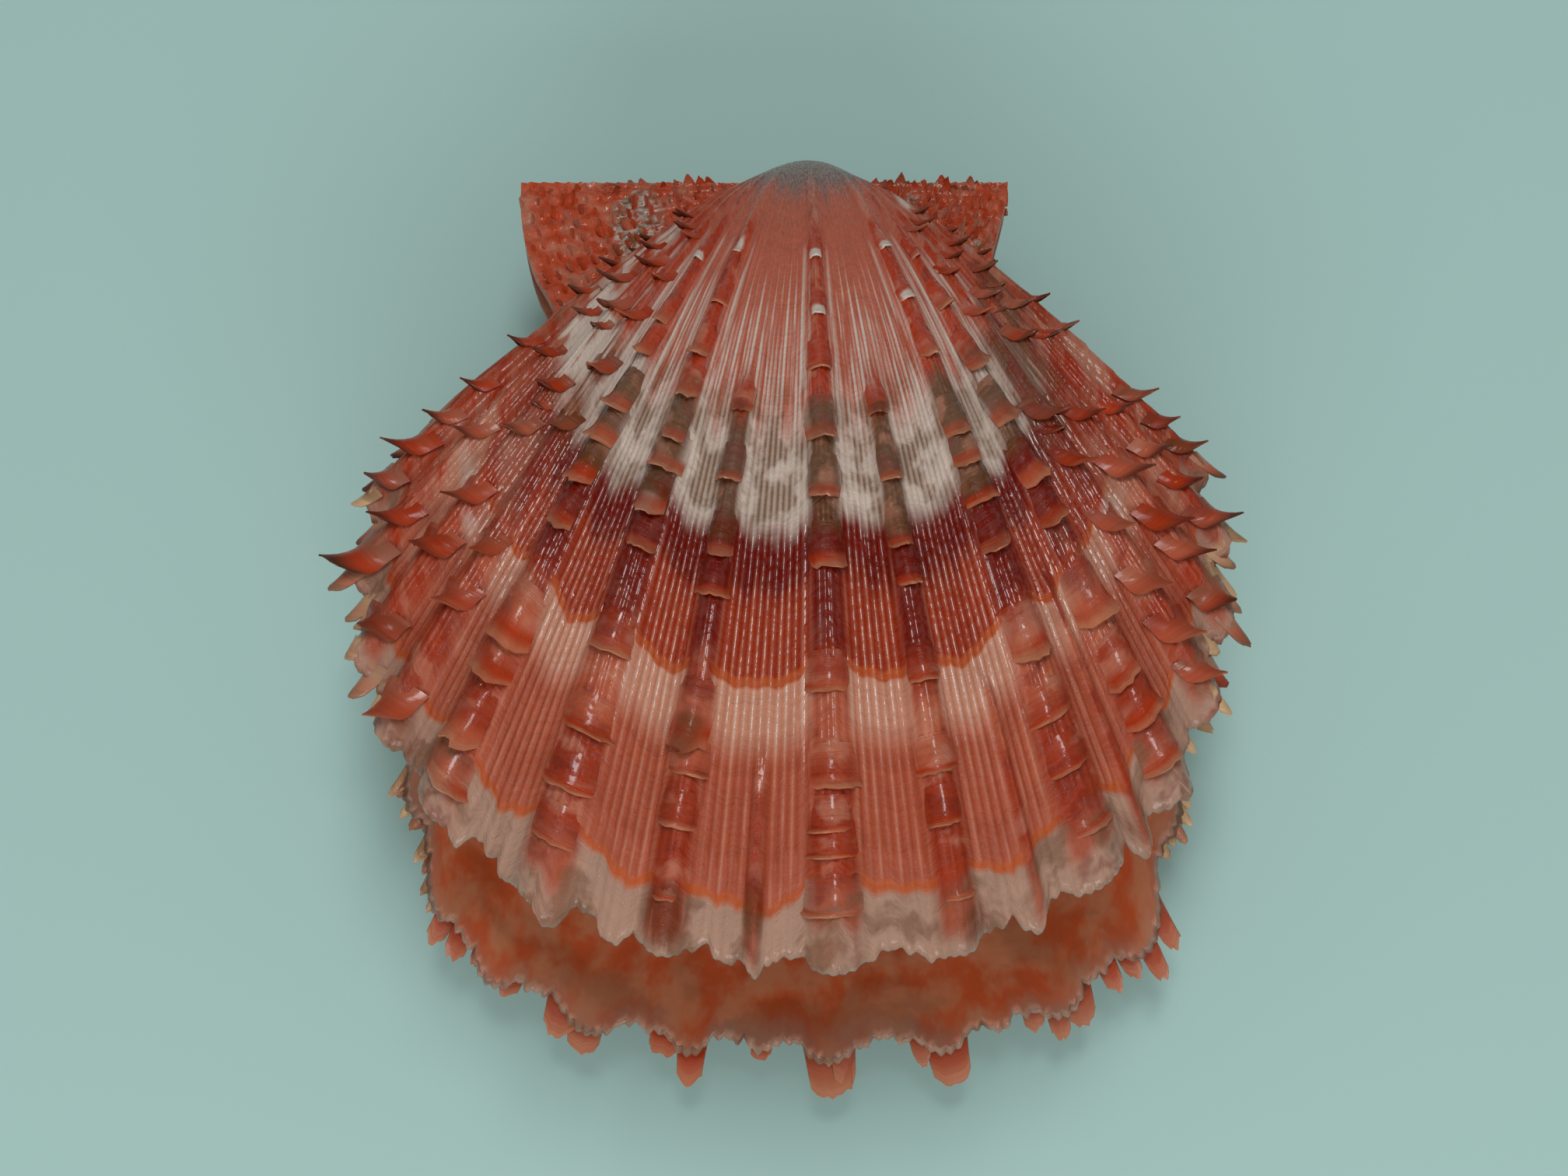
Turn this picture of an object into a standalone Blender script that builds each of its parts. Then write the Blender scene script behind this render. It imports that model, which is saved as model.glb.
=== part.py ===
"""A gaping spiny scallop: two ribbed valves with rows of scales, and the ligament between their beaks.

Each valve is a grid wrapped on a growth spiral. One direction of the grid fans out from ear to ear over the
ribs. The other runs from the beak to the margin, and its rings carry the scales. The pair lies on the scales
of its lower valve. The frame is +X along the hinge line, -Y towards the open margin and +Z up, with the origin
on the floor under the middle of the pair. Lengths are in millimetres until the meshes are placed.
"""

import bisect
import math
import random

import bmesh
import bpy
from mathutils import Matrix, Vector

MM = 0.001

# Pose of the pair: how far it gapes, how it leans on its belly scales, and where the hinge line then is.
GAPE_DEGREES = 19.0
PITCH_DEGREES = 5.43
ROLL_DEGREES = 0.63
HINGE = Vector((0.89, 22.48, 10.80))

# Growth: the valve grows by one factor for each unit of turn, the ears turn far less than the disc.
SPIRAL_RATE = 2.18
EAR_TURN = 0.10
FLANK_START = 46.0
FLANK_END = 57.0
BEAK_GROWTH = 0.030

# The margin about the beak: (degrees from the line down the middle, millimetres), in three stretches.
LEFT_EAR = ((-90.0, 15.0), (-79.0, 15.1), (-68.0, 15.2), (-60.0, 15.2), (-57.0, 15.7), (-54.5, 19.0))
RIGHT_EAR = ((52.0, 18.2), (55.5, 12.6), (58.0, 11.2), (70.0, 10.4), (90.0, 10.5))
UPPER_DISC = (
    (-52.5, 23.0),
    (-49.0, 26.9),
    (-43.0, 31.0),
    (-36.0, 35.3),
    (-28.0, 38.8),
    (-18.0, 41.8),
    (-8.0, 43.2),
    (2.0, 43.5),
    (12.0, 42.7),
    (21.0, 40.5),
    (29.0, 36.8),
    (36.0, 32.9),
    (42.0, 29.2),
    (47.0, 25.2),
    (49.7, 21.8),
)
LOWER_DISC = (
    (-52.5, 23.0),
    (-48.0, 27.2),
    (-42.0, 31.4),
    (-36.0, 35.0),
    (-31.5, 38.2),
    (-28.0, 40.8),
    (-22.0, 43.0),
    (-14.0, 44.0),
    (-4.0, 44.0),
    (6.0, 44.1),
    (15.0, 43.8),
    (21.0, 42.8),
    (25.0, 41.2),
    (28.5, 38.4),
    (33.0, 34.9),
    (40.0, 30.6),
    (46.0, 26.2),
    (49.7, 21.8),
)

# Ribs: (degrees, half width in degrees, growth at which the rib starts, length of its scales at the margin).
UPPER_RIBS = (
    (-47.5, 2.0, 0.12, 2.0),
    (-42.5, 2.1, 0.12, 2.2),
    (-37.0, 2.2, 0.10, 2.3),
    (-31.8, 2.2, 0.10, 2.3),
    (-25.8, 2.5, 0.08, 2.1),
    (-17.0, 2.7, 0.08, 1.5),
    (-9.0, 1.8, 0.40, 1.5),
    (1.5, 2.3, 0.08, 1.4),
    (9.1, 1.8, 0.40, 1.3),
    (18.6, 2.7, 0.08, 1.7),
    (25.6, 2.4, 0.08, 2.2),
    (31.6, 2.2, 0.10, 2.3),
    (37.2, 2.2, 0.10, 2.1),
    (42.4, 2.0, 0.12, 1.6),
    (46.8, 1.8, 0.12, 1.3),
)
LOWER_RIBS = (
    (-47.5, 2.0, 0.12, 1.6),
    (-42.5, 2.1, 0.12, 1.8),
    (-37.4, 2.2, 0.10, 2.0),
    (-32.4, 2.2, 0.10, 2.2),
    (-27.0, 2.2, 0.08, 2.4),
    (-21.4, 2.2, 0.08, 2.4),
    (-14.4, 2.4, 0.08, 2.3),
    (-7.8, 1.8, 0.30, 1.7),
    (1.3, 2.3, 0.08, 1.2),
    (8.8, 2.2, 0.30, 1.7),
    (16.8, 2.3, 0.08, 2.3),
    (23.4, 2.3, 0.08, 2.4),
    (29.6, 2.2, 0.10, 2.2),
    (35.8, 2.2, 0.10, 2.0),
    (41.6, 2.0, 0.12, 1.7),
    (46.8, 1.8, 0.12, 1.4),
)
WIDE_RIB_LIMIT = 27.0
RIB_HEIGHT = 0.85
RIB_SHOULDER = 0.5

# Rings of growth that carry scales, as shares of the full size. The last of the lower valve is its lip.
UPPER_RINGS = (0.27, 0.345, 0.42, 0.50, 0.575, 0.65, 0.745, 0.83, 0.895, 0.955)
LOWER_RINGS = (0.32, 0.44, 0.56, 0.68, 0.79, 0.88, 0.97)
BEAK_ROWS = (BEAK_GROWTH, 0.055, 0.09, 0.135, 0.19)

# Scales: where the wedge starts and ends beside its ring, how far it leans, and how much it varies.
SCALE_FOOT = 0.028
SCALE_UNDERCUT = 0.010
SCALE_LEAN_DEGREES = 48.0
LIP_LEAN_DEGREES = 66.0
LIP_LENGTH = 2.7
SHOULDER_SCALE = 0.72
RING_JITTER = 0.009
TONGUE = 0.8
EAR_RIPPLE = 0.35
EAR_RIBLETS = (61.0, 75.0)

# Walls.
EDGE_WALL = 0.55
BEAK_WALL = 1.0
EAR_WALL = 0.7
HINGE_GAP = 0.45
INNER_ROWS = (0.13, 0.19, 0.27, 0.36, 0.46, 0.57, 0.68, 0.79, 0.90, 1.0)
EAR_ANGLES = (50.5, 53.5, 56.5, 61.0, 68.0, 75.0, 82.0, 90.0)

# Ligament: (distance in front of the hinge line, half width, half height) of its three sections.
LIGAMENT_SECTIONS = ((-0.1, 0.55, 0.5), (0.9, 0.8, 0.85), (1.8, 1.0, 1.15))


def clear_scene():
    """Removes every object that the file starts with."""
    for obj in list(bpy.data.objects):
        bpy.data.objects.remove(obj, do_unlink=True)


def smoothstep(low, high, value):
    """Eases from 0 at low to 1 at high."""
    share = min(1.0, max(0.0, (value - low) / (high - low)))
    return share * share * (3.0 - 2.0 * share)


def rib_profile(offset, half_width):
    """Height of a rounded rib, 1 on its crest and 0 at its foot."""
    share = min(1.0, abs(offset) / half_width)
    return (1.0 - share * share) ** 2


class Valve:
    """The rules that one valve grows by. Its scales are the same each time they are asked for."""

    def __init__(self, name, disc, ribs, rings):
        self.name = name
        self.margin = (*LEFT_EAR, *disc, *RIGHT_EAR)
        self.ribs = ribs
        self.rings = rings

    def radius(self, angle):
        """Radius of the margin at an angle, along a smooth curve through its points."""
        angles, radii = zip(*self.margin)
        last = len(angles) - 1
        i = min(max(bisect.bisect_right(angles, angle) - 1, 0), last - 1)
        width = angles[i + 1] - angles[i]
        t = (angle - angles[i]) / width
        before, after = max(i - 1, 0), min(i + 2, last)
        slope_in = (radii[i + 1] - radii[before]) / (angles[i + 1] - angles[before]) * width
        slope_out = (radii[after] - radii[i]) / (angles[after] - angles[i]) * width
        t2, t3 = t * t, t * t * t
        return (
            (2 * t3 - 3 * t2 + 1) * radii[i]
            + (t3 - 2 * t2 + t) * slope_in
            + (3 * t2 - 2 * t3) * radii[i + 1]
            + (t3 - t2) * slope_out
        )

    def point(self, angle, growth):
        """Point of the middle surface: x along the hinge, y from margin to hinge, z outwards."""
        radius = self.radius(angle) * growth
        flank = smoothstep(FLANK_START, FLANK_END, abs(angle))
        turn = -math.log(growth) / SPIRAL_RATE * (1.0 - flank * (1.0 - EAR_TURN))
        across = radius * math.sin(math.radians(angle))
        along = radius * math.cos(math.radians(angle))
        return Vector((across, -along * math.cos(turn), along * math.sin(turn)))

    def axes(self, angle, growth):
        """Outward normal of the middle surface, and its direction of growth."""
        angle = min(max(angle, -89.0), 89.0)
        aside = self.point(angle + 0.25, growth) - self.point(angle - 0.25, growth)
        forward = self.point(angle, growth * 1.01) - self.point(angle, growth * 0.99)
        return forward.cross(aside).normalized(), forward.normalized()

    def wall(self, angle, growth):
        """Thickness of the shell: thin at the edge, thicker towards the beak, even on the ears."""
        disc = EDGE_WALL + (BEAK_WALL - EDGE_WALL) * (1.0 - growth)
        flank = smoothstep(FLANK_START, FLANK_END, abs(angle))
        return disc + (EAR_WALL - disc) * flank

    def rib_relief(self, angle, growth):
        """Height of the ribs above the shell between them."""
        height = 0.0
        for centre, half_width, start, _ in self.ribs:
            grown = smoothstep(start, start + 0.10, growth)
            height = max(height, grown * rib_profile(angle - centre, half_width))
        return RIB_HEIGHT * growth**0.8 * height

    def chance(self, rib, ring, purpose):
        """A number from 0 to 1 that belongs to one scale and one purpose."""
        return random.Random(f"{self.name} {rib} {ring} {purpose}").random()

    def scale_length(self, rib, ring):
        """Length of a scale: it grows with the shell, and varies."""
        centre, _, start, full = self.ribs[rib]
        growth = self.rings[ring]
        if growth < start + 0.03:
            return 0.0
        if self.is_lip(ring) and abs(centre) < WIDE_RIB_LIMIT:
            full = LIP_LENGTH
        return full * (0.25 + 0.75 * growth) * (0.75 + 0.35 * self.chance(rib, ring, "length"))

    def is_lip(self, ring):
        """Whether a ring carries the tongues that stand out past the lip of the lower valve."""
        return self.name == "lower" and ring == len(self.rings) - 1

    def scale_shift(self, rib, ring):
        """How far a scale is from its ring, as a share of growth."""
        return RING_JITTER * (2.0 * self.chance(rib, ring, "shift") - 1.0)


def column_angles(ribs):
    """Columns of the outer grid: (degrees, rib or None, share of the rib's scale)."""
    columns = []
    for index, (centre, half_width, _, _) in enumerate(ribs):
        if abs(centre) < WIDE_RIB_LIMIT:
            shoulder = half_width * RIB_SHOULDER
            columns.append((centre - shoulder, index, SHOULDER_SCALE))
            columns.append((centre, index, 1.0))
            columns.append((centre + shoulder, index, SHOULDER_SCALE))
        else:
            columns.append((centre, index, 1.0))
    for left, right in zip(ribs, ribs[1:]):
        foot_left, foot_right = left[0] + left[1], right[0] - right[1]
        if foot_right - foot_left > left[1]:
            columns.append((foot_left, None, 0.0))
            columns.append((foot_right, None, 0.0))
        else:
            columns.append((0.5 * (foot_left + foot_right), None, 0.0))
    for angle in EAR_ANGLES:
        columns.append((angle, None, 0.0))
        columns.append((-angle, None, 0.0))
    columns.sort()
    return columns


def ring_rows(rings):
    """Rows of the outer grid: (growth, what the row is, ring)."""
    rows = [(growth, "plain", None) for growth in BEAK_ROWS]
    for index, growth in enumerate(rings):
        rows.append((growth - SCALE_FOOT, "plain", index))
        rows.append((growth, "tip", index))
        rows.append((growth + SCALE_UNDERCUT, "plain", index))
    rows.append((1.0, "margin", None))
    return rows


def outer_point(valve, column, row):
    """Point of the outer surface, with ribs, scales, riblets on the ears and tongues at the margin."""
    angle, rib, share = column
    growth, kind, ring = row
    if rib is not None and ring is not None:
        growth += valve.scale_shift(rib, ring)
    normal, forward = valve.axes(angle, growth)
    lift = 0.5 * valve.wall(angle, growth) + valve.rib_relief(angle, growth)
    slide = 0.0
    if abs(angle) in EAR_RIBLETS:
        lift += EAR_RIPPLE * growth
        if kind == "tip":
            lift += EAR_RIPPLE * valve.chance(angle, ring, "ear")
    if rib is not None and kind == "tip":
        lean = math.radians(LIP_LEAN_DEGREES if valve.is_lip(ring) else SCALE_LEAN_DEGREES)
        length = share * valve.scale_length(rib, ring)
        lift += length * math.cos(lean)
        slide += length * math.sin(lean)
    if rib is not None and kind == "margin":
        slide += TONGUE * share
    return valve.point(angle, growth) + normal * lift + forward * slide


def inner_point(valve, column, growth):
    """Point of the smooth inner surface."""
    angle = column[0]
    normal, _ = valve.axes(angle, growth)
    return valve.point(angle, growth) - normal * (0.5 * valve.wall(angle, growth))


def add_grid(mesh, columns, rows, place):
    """Adds a grid of columns by rows, each point put by place, and returns its four sides in one loop."""
    across, along = len(columns) - 1, len(rows) - 1
    made = bmesh.ops.create_grid(mesh, x_segments=across, y_segments=along, size=1.0)
    grid = {}
    for vert in made["verts"]:
        i = round((vert.co.x + 1.0) / 2.0 * across)
        j = round((vert.co.y + 1.0) / 2.0 * along)
        grid[i, j] = vert
    for (i, j), vert in grid.items():
        vert.co = place(columns[i], rows[j])
    beak = [grid[i, 0] for i in range(across + 1)]
    right = [grid[across, j] for j in range(along + 1)]
    edge = [grid[i, along] for i in range(across + 1)]
    left = [grid[0, j] for j in range(along + 1)]
    return beak, right, edge, left


def lengths_along(line):
    """Distance of each vertex along a line of vertices, from 0 to 1."""
    total = [0.0]
    for first, second in zip(line, line[1:]):
        total.append(total[-1] + (second.co - first.co).length)
    return [distance / total[-1] for distance in total]


def close_between(mesh, first, second):
    """Fills the strip between two lines of vertices that start and end side by side."""
    reach_first, reach_second = lengths_along(first), lengths_along(second)
    i = j = 0
    while i < len(first) - 1 or j < len(second) - 1:
        more_first = i < len(first) - 1
        more_second = j < len(second) - 1
        if more_first and (not more_second or reach_first[i + 1] <= reach_second[j + 1]):
            mesh.faces.new((first[i], first[i + 1], second[j]))
            i += 1
        else:
            mesh.faces.new((first[i], second[j + 1], second[j]))
            j += 1


def add_material(obj, colour, roughness):
    """Gives an object a plain material of its own."""
    material = bpy.data.materials.new(obj.name)
    material.use_nodes = True
    shader = material.node_tree.nodes["Principled BSDF"]
    shader.inputs["Base Color"].default_value = (*colour, 1.0)
    shader.inputs["Roughness"].default_value = roughness
    shader.inputs["Metallic"].default_value = 0.0
    obj.data.materials.append(material)


def add_object(name, mesh):
    """Makes an object of a finished mesh, with its faces out, smooth but for its sharp edges."""
    bmesh.ops.recalc_face_normals(mesh, faces=mesh.faces)
    data = bpy.data.meshes.new(name)
    mesh.to_mesh(data)
    mesh.free()
    data.shade_smooth()
    data.set_sharp_from_angle(angle=math.radians(50.0))
    obj = bpy.data.objects.new(name, data)
    bpy.context.scene.collection.objects.link(obj)
    return obj


def pose(gape_degrees):
    """Turn about the hinge line, then onto the belly scales, then to the place of the hinge, in metres."""
    opened = Matrix.Rotation(math.radians(-gape_degrees), 4, "X")
    pitched = Matrix.Rotation(math.radians(PITCH_DEGREES), 4, "X")
    rolled = Matrix.Rotation(math.radians(ROLL_DEGREES), 4, "Y")
    return Matrix.Scale(MM, 4) @ Matrix.Translation(HINGE) @ rolled @ pitched @ opened


def build_valve(valve, side, gape_degrees):
    """One valve. side is 1 where its outside faces up, and -1 where it faces down."""
    mesh = bmesh.new()
    columns = column_angles(valve.ribs)
    inner_columns = columns[::2]
    if inner_columns[-1] is not columns[-1]:
        inner_columns.append(columns[-1])
    rows = ring_rows(valve.rings)
    outer = add_grid(mesh, columns, rows, lambda c, r: outer_point(valve, c, r))
    inner = add_grid(mesh, inner_columns, INNER_ROWS, lambda c, r: inner_point(valve, c, r))
    for outer_side, inner_side in zip(outer, inner):
        close_between(mesh, outer_side, inner_side)
    rise = 0.5 * (HINGE_GAP + EAR_WALL)
    bmesh.ops.translate(mesh, vec=Vector((0.0, 0.0, rise)), verts=mesh.verts)
    bmesh.ops.scale(mesh, vec=Vector((1.0, 1.0, side)), verts=mesh.verts)
    bmesh.ops.transform(mesh, matrix=pose(gape_degrees), verts=mesh.verts)
    return add_object(f"{valve.name}_valve", mesh)


def build_ligament():
    """The rubbery pad between the beaks: a wedge that widens towards the inside."""
    mesh = bmesh.new()
    rings = []
    for front, half_width, half_height in LIGAMENT_SECTIONS:
        corners = []
        for k in range(8):
            turn = math.tau * (k + 0.5) / 8
            x = half_width * math.cos(turn)
            z = half_height * math.sin(turn)
            corners.append(mesh.verts.new((x, -front, z)))
        rings.append([mesh.edges.new((corners[k], corners[k - 1])) for k in range(8)])
    for first, second in zip(rings, rings[1:]):
        bmesh.ops.bridge_loops(mesh, edges=first + second)
    for ring in (rings[0], rings[-1]):
        bmesh.ops.contextual_create(mesh, geom=ring)
    bmesh.ops.transform(mesh, matrix=pose(0.5 * GAPE_DEGREES), verts=mesh.verts)
    return add_object("ligament", mesh)


def main():
    clear_scene()
    lower = build_valve(Valve("lower", LOWER_DISC, LOWER_RIBS, LOWER_RINGS), -1, 0.0)
    add_material(lower, (0.42, 0.13, 0.06), 0.35)
    upper = build_valve(Valve("upper", UPPER_DISC, UPPER_RIBS, UPPER_RINGS), 1, GAPE_DEGREES)
    add_material(upper, (0.56, 0.17, 0.10), 0.35)
    ligament = build_ligament()
    add_material(ligament, (0.05, 0.03, 0.02), 0.5)


main()
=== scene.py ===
"""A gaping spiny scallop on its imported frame: two valves with ribs and scales, and their ligament.

Each valve is one sheet folded over its lip. Its grid follows the angle about the beak and the growth of
the shell, and every pattern and relief is a rule in those two. Lengths are in millimetres until a mesh is
placed, and growth runs from 0 at the beak to 1 at the margin.
"""

import math
import random

import bmesh
import bpy
import numpy as np
from mathutils import Matrix, Vector


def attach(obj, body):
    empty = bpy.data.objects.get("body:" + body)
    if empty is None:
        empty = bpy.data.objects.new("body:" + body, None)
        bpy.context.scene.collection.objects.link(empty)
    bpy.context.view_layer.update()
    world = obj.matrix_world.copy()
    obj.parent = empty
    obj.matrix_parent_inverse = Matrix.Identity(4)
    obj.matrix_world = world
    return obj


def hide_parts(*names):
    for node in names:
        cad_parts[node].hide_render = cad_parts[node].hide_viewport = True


bl_info = {
    "name": "Gaping Spiny Scallop",
    "version": (1, 0, 0),
    "blender": (4, 5, 0),
    "location": "3D View > Sidebar > Scallop",
    "description": "Dresses a packed scallop with ribbed, scaly valves, a ligament and a studio stage",
    "category": "Add Mesh",
}

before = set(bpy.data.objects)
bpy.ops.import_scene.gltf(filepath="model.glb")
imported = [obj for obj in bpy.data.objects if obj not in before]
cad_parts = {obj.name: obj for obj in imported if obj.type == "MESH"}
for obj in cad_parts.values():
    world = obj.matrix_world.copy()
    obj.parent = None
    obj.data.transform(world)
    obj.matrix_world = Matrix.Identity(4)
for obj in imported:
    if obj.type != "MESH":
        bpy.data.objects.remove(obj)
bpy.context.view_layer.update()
MM = 0.001

# Pose of the pair, as the frame holds it.
GAPE_DEGREES = 19.0
PITCH_DEGREES = 5.43
ROLL_DEGREES = 0.63
HINGE = Vector((0.89, 22.48, 10.80))

# Growth of a valve, as in the frame's solids.
SPIRAL_RATE = 2.18
EAR_TURN = 0.10
FLANK_START = 46.0
FLANK_END = 57.0
BEAK_GROWTH = 0.030
INNER_BEAK_GROWTH = 0.13
EDGE_WALL = 0.55
BEAK_WALL = 1.0
EAR_WALL = 0.7
HINGE_GAP = 0.45
TONGUE = 0.8
RING_JITTER = 0.009
BELLY_TRIM = 0.5
LIP_TRIM = 0.8
LIP_ROUND = 0.16
LAST_GROWTH = 0.93
EARLY_RIB = 0.20

# Where the paint of the flanks starts and is full, in degrees from the middle.
FLANK_PAINT_START = 24.0
FLANK_PAINT_END = 46.0

# The margin about the beak: (degrees from the line down the middle, millimetres), in three stretches.
LEFT_EAR = ((-90.0, 15.0), (-79.0, 15.1), (-68.0, 15.2), (-60.0, 15.2), (-57.0, 15.7), (-54.5, 19.0))
RIGHT_EAR = ((52.0, 18.2), (55.5, 12.6), (58.0, 11.2), (70.0, 10.4), (90.0, 10.5))
UPPER_DISC = (
    (-52.5, 23.0), (-49.0, 26.9), (-43.0, 31.0), (-36.0, 35.3), (-28.0, 38.8), (-18.0, 41.8),
    (-8.0, 43.2), (2.0, 43.5), (12.0, 42.7), (21.0, 40.5), (29.0, 36.8), (36.0, 32.9), (42.0, 29.2),
    (47.0, 25.2), (49.7, 21.8),
)
LOWER_DISC = (
    (-52.5, 23.0), (-48.0, 27.2), (-42.0, 31.4), (-36.0, 35.0), (-31.5, 38.2), (-28.0, 40.8),
    (-22.0, 43.0), (-14.0, 44.0), (-4.0, 44.0), (6.0, 44.1), (15.0, 43.8), (21.0, 42.8), (25.0, 41.2),
    (28.5, 38.4), (33.0, 34.9), (40.0, 30.6), (46.0, 26.2), (49.7, 21.8),
)

# Ribs: (degrees, half width in degrees, growth at the start, length of the scales at the margin).
UPPER_RIBS = (
    (-47.5, 2.0, 0.12, 2.0), (-42.5, 2.1, 0.12, 2.2), (-37.0, 2.2, 0.10, 2.3), (-31.8, 2.2, 0.10, 2.3),
    (-25.8, 2.5, 0.08, 2.1), (-17.0, 2.7, 0.08, 1.5), (-9.0, 1.8, 0.40, 1.5), (1.5, 2.3, 0.08, 1.4),
    (9.1, 1.8, 0.40, 1.3), (18.6, 2.7, 0.08, 1.7), (25.6, 2.4, 0.08, 2.2), (31.6, 2.2, 0.10, 2.3),
    (37.2, 2.2, 0.10, 2.1), (42.4, 2.0, 0.12, 1.6), (46.8, 1.8, 0.12, 1.3),
)
LOWER_RIBS = (
    (-47.5, 2.0, 0.12, 1.6), (-42.5, 2.1, 0.12, 1.8), (-37.4, 2.2, 0.10, 2.0), (-32.4, 2.2, 0.10, 2.2),
    (-27.0, 2.2, 0.08, 2.4), (-21.4, 2.2, 0.08, 2.4), (-14.4, 2.4, 0.08, 2.3), (-7.8, 1.8, 0.30, 1.7),
    (1.3, 2.3, 0.08, 1.2), (8.8, 2.2, 0.30, 1.7), (16.8, 2.3, 0.08, 2.3), (23.4, 2.3, 0.08, 2.4),
    (29.6, 2.2, 0.10, 2.2), (35.8, 2.2, 0.10, 2.0), (41.6, 2.0, 0.12, 1.7), (46.8, 1.8, 0.12, 1.4),
)
UPPER_RINGS = (0.27, 0.345, 0.42, 0.50, 0.575, 0.65, 0.745, 0.83, 0.895, 0.955)
LOWER_RINGS = (0.32, 0.44, 0.56, 0.68, 0.79, 0.88, 0.97)

# Weaker late ribs, in the looks only: (degrees, half width in degrees, growth at the start, share).
UPPER_THREADS = ((-3.6, 0.7, 0.80, 0.45), (14.3, 0.6, 0.76, 0.35), (22.4, 0.6, 0.70, 0.30))
LOWER_THREADS = ((-3.2, 0.8, 0.70, 0.5), (12.6, 0.7, 0.75, 0.4))

# Scales of the wide ribs of the upper valve: rib number, then (growth, length, tone), where tone runs
# from -1, dark brown, to 1, white.
UPPER_SCALES = {
    4: (
        (0.30, 0.7, 1.0), (0.385, 0.9, 0.0), (0.43, 1.1, 0.1), (0.50, 1.3, 0.2), (0.54, 1.2, 0.0),
        (0.59, 1.3, -0.2), (0.65, 1.5, -0.3), (0.775, 2.3, -0.1), (0.83, 1.7, 0.0), (0.90, 2.0, 0.0),
        (0.96, 1.2, 0.3),
    ),
    5: (
        (0.27, 0.6, 1.0), (0.345, 0.8, 0.0), (0.40, 1.0, 0.1), (0.45, 1.0, 0.2), (0.505, 1.0, 0.1),
        (0.535, 1.0, 0.2), (0.58, 1.3, 0.3), (0.63, 1.0, -0.3), (0.74, 1.0, 0.2), (0.83, 1.5, 0.1),
        (0.89, 1.2, 0.0), (0.945, 0.9, -0.3),
    ),
    6: (
        (0.455, 0.7, -0.7), (0.535, 0.7, -0.4), (0.61, 0.8, -0.4), (0.655, 0.8, -0.2), (0.78, 2.3, -0.7),
        (0.84, 0.7, -0.1), (0.89, 0.8, 0.0), (0.955, 0.7, -0.3),
    ),
    7: (
        (0.27, 0.7, 1.0), (0.345, 0.8, 0.9), (0.41, 0.4, 0.0), (0.475, 1.0, -0.4), (0.54, 0.9, 0.0),
        (0.61, 0.9, -0.1), (0.74, 0.7, 0.1), (0.83, 1.6, 0.1), (0.88, 0.8, 0.0), (0.905, 0.7, 0.0),
        (0.955, 0.7, 0.0),
    ),
    8: (
        (0.46, 0.7, -0.8), (0.535, 0.7, 0.0), (0.605, 0.7, -0.2), (0.645, 0.8, 0.1), (0.745, 0.6, 0.0),
        (0.835, 1.0, 0.2), (0.885, 1.2, 0.1), (0.955, 0.7, -0.2),
    ),
    9: (
        (0.27, 0.6, 0.9), (0.345, 0.8, 0.9), (0.41, 0.8, 0.0), (0.505, 1.0, -0.3), (0.54, 1.0, 0.1),
        (0.59, 0.7, -0.2), (0.64, 1.2, -0.3), (0.745, 1.9, 0.0), (0.835, 1.1, 0.1), (0.89, 1.1, 0.0),
        (0.95, 1.0, -0.4),
    ),
    10: (
        (0.30, 0.7, 0.3), (0.37, 0.8, 0.0), (0.45, 1.1, -0.4), (0.52, 1.2, -0.5), (0.60, 1.2, -0.2),
        (0.66, 1.3, -0.1), (0.76, 2.3, 0.0), (0.85, 1.5, 0.0), (0.90, 1.5, 0.0), (0.955, 1.2, 0.1),
    ),
}

# Marks on the upper valve: (degrees, growth, half width in degrees, half height in growth, tone).
UPPER_MARKS = (
    (-39.0, 0.50, 8.0, 0.075, 0.9), (-27.0, 0.47, 3.0, 0.10, 0.6), (-33.0, 0.36, 2.0, 0.05, 0.5),
    (26.0, 0.50, 3.5, 0.07, 0.7), (34.0, 0.51, 6.0, 0.09, -1.2), (41.0, 0.46, 4.0, 0.07, -0.7),
    (31.5, 0.415, 2.0, 0.03, 0.7), (-38.0, 0.775, 6.0, 0.03, 0.45), (34.0, 0.76, 7.0, 0.03, 0.35),
    (-28.0, 0.615, 5.0, 0.02, -0.5), (-8.0, 0.525, 4.5, 0.02, -0.35), (9.5, 0.525, 6.0, 0.018, -0.4),
    (-9.0, 0.975, 1.8, 0.022, -0.9), (-3.6, 0.955, 0.9, 0.035, -0.9), (10.0, 0.985, 1.6, 0.016, -0.7),
    (-30.0, 0.985, 3.0, 0.02, -0.5), (22.0, 0.98, 3.0, 0.02, -0.5), (42.0, 0.235, 7.0, 0.03, 0.7),
    (-41.0, 0.31, 6.0, 0.05, 0.55), (-45.0, 0.39, 4.0, 0.05, 0.5), (46.0, 0.40, 4.0, 0.06, 0.5),
    (-80.0, 0.60, 12.0, 0.085, 1.1), (-63.0, 0.65, 9.0, 0.07, 1.1), (-88.0, 0.67, 3.5, 0.07, -1.0),
    (68.0, 0.55, 12.0, 0.11, 1.2), (87.0, 0.42, 6.0, 0.07, -0.9), (76.0, 0.66, 12.0, 0.03, -0.8),
    (66.0, 0.93, 6.0, 0.05, 0.6),
)

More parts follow.
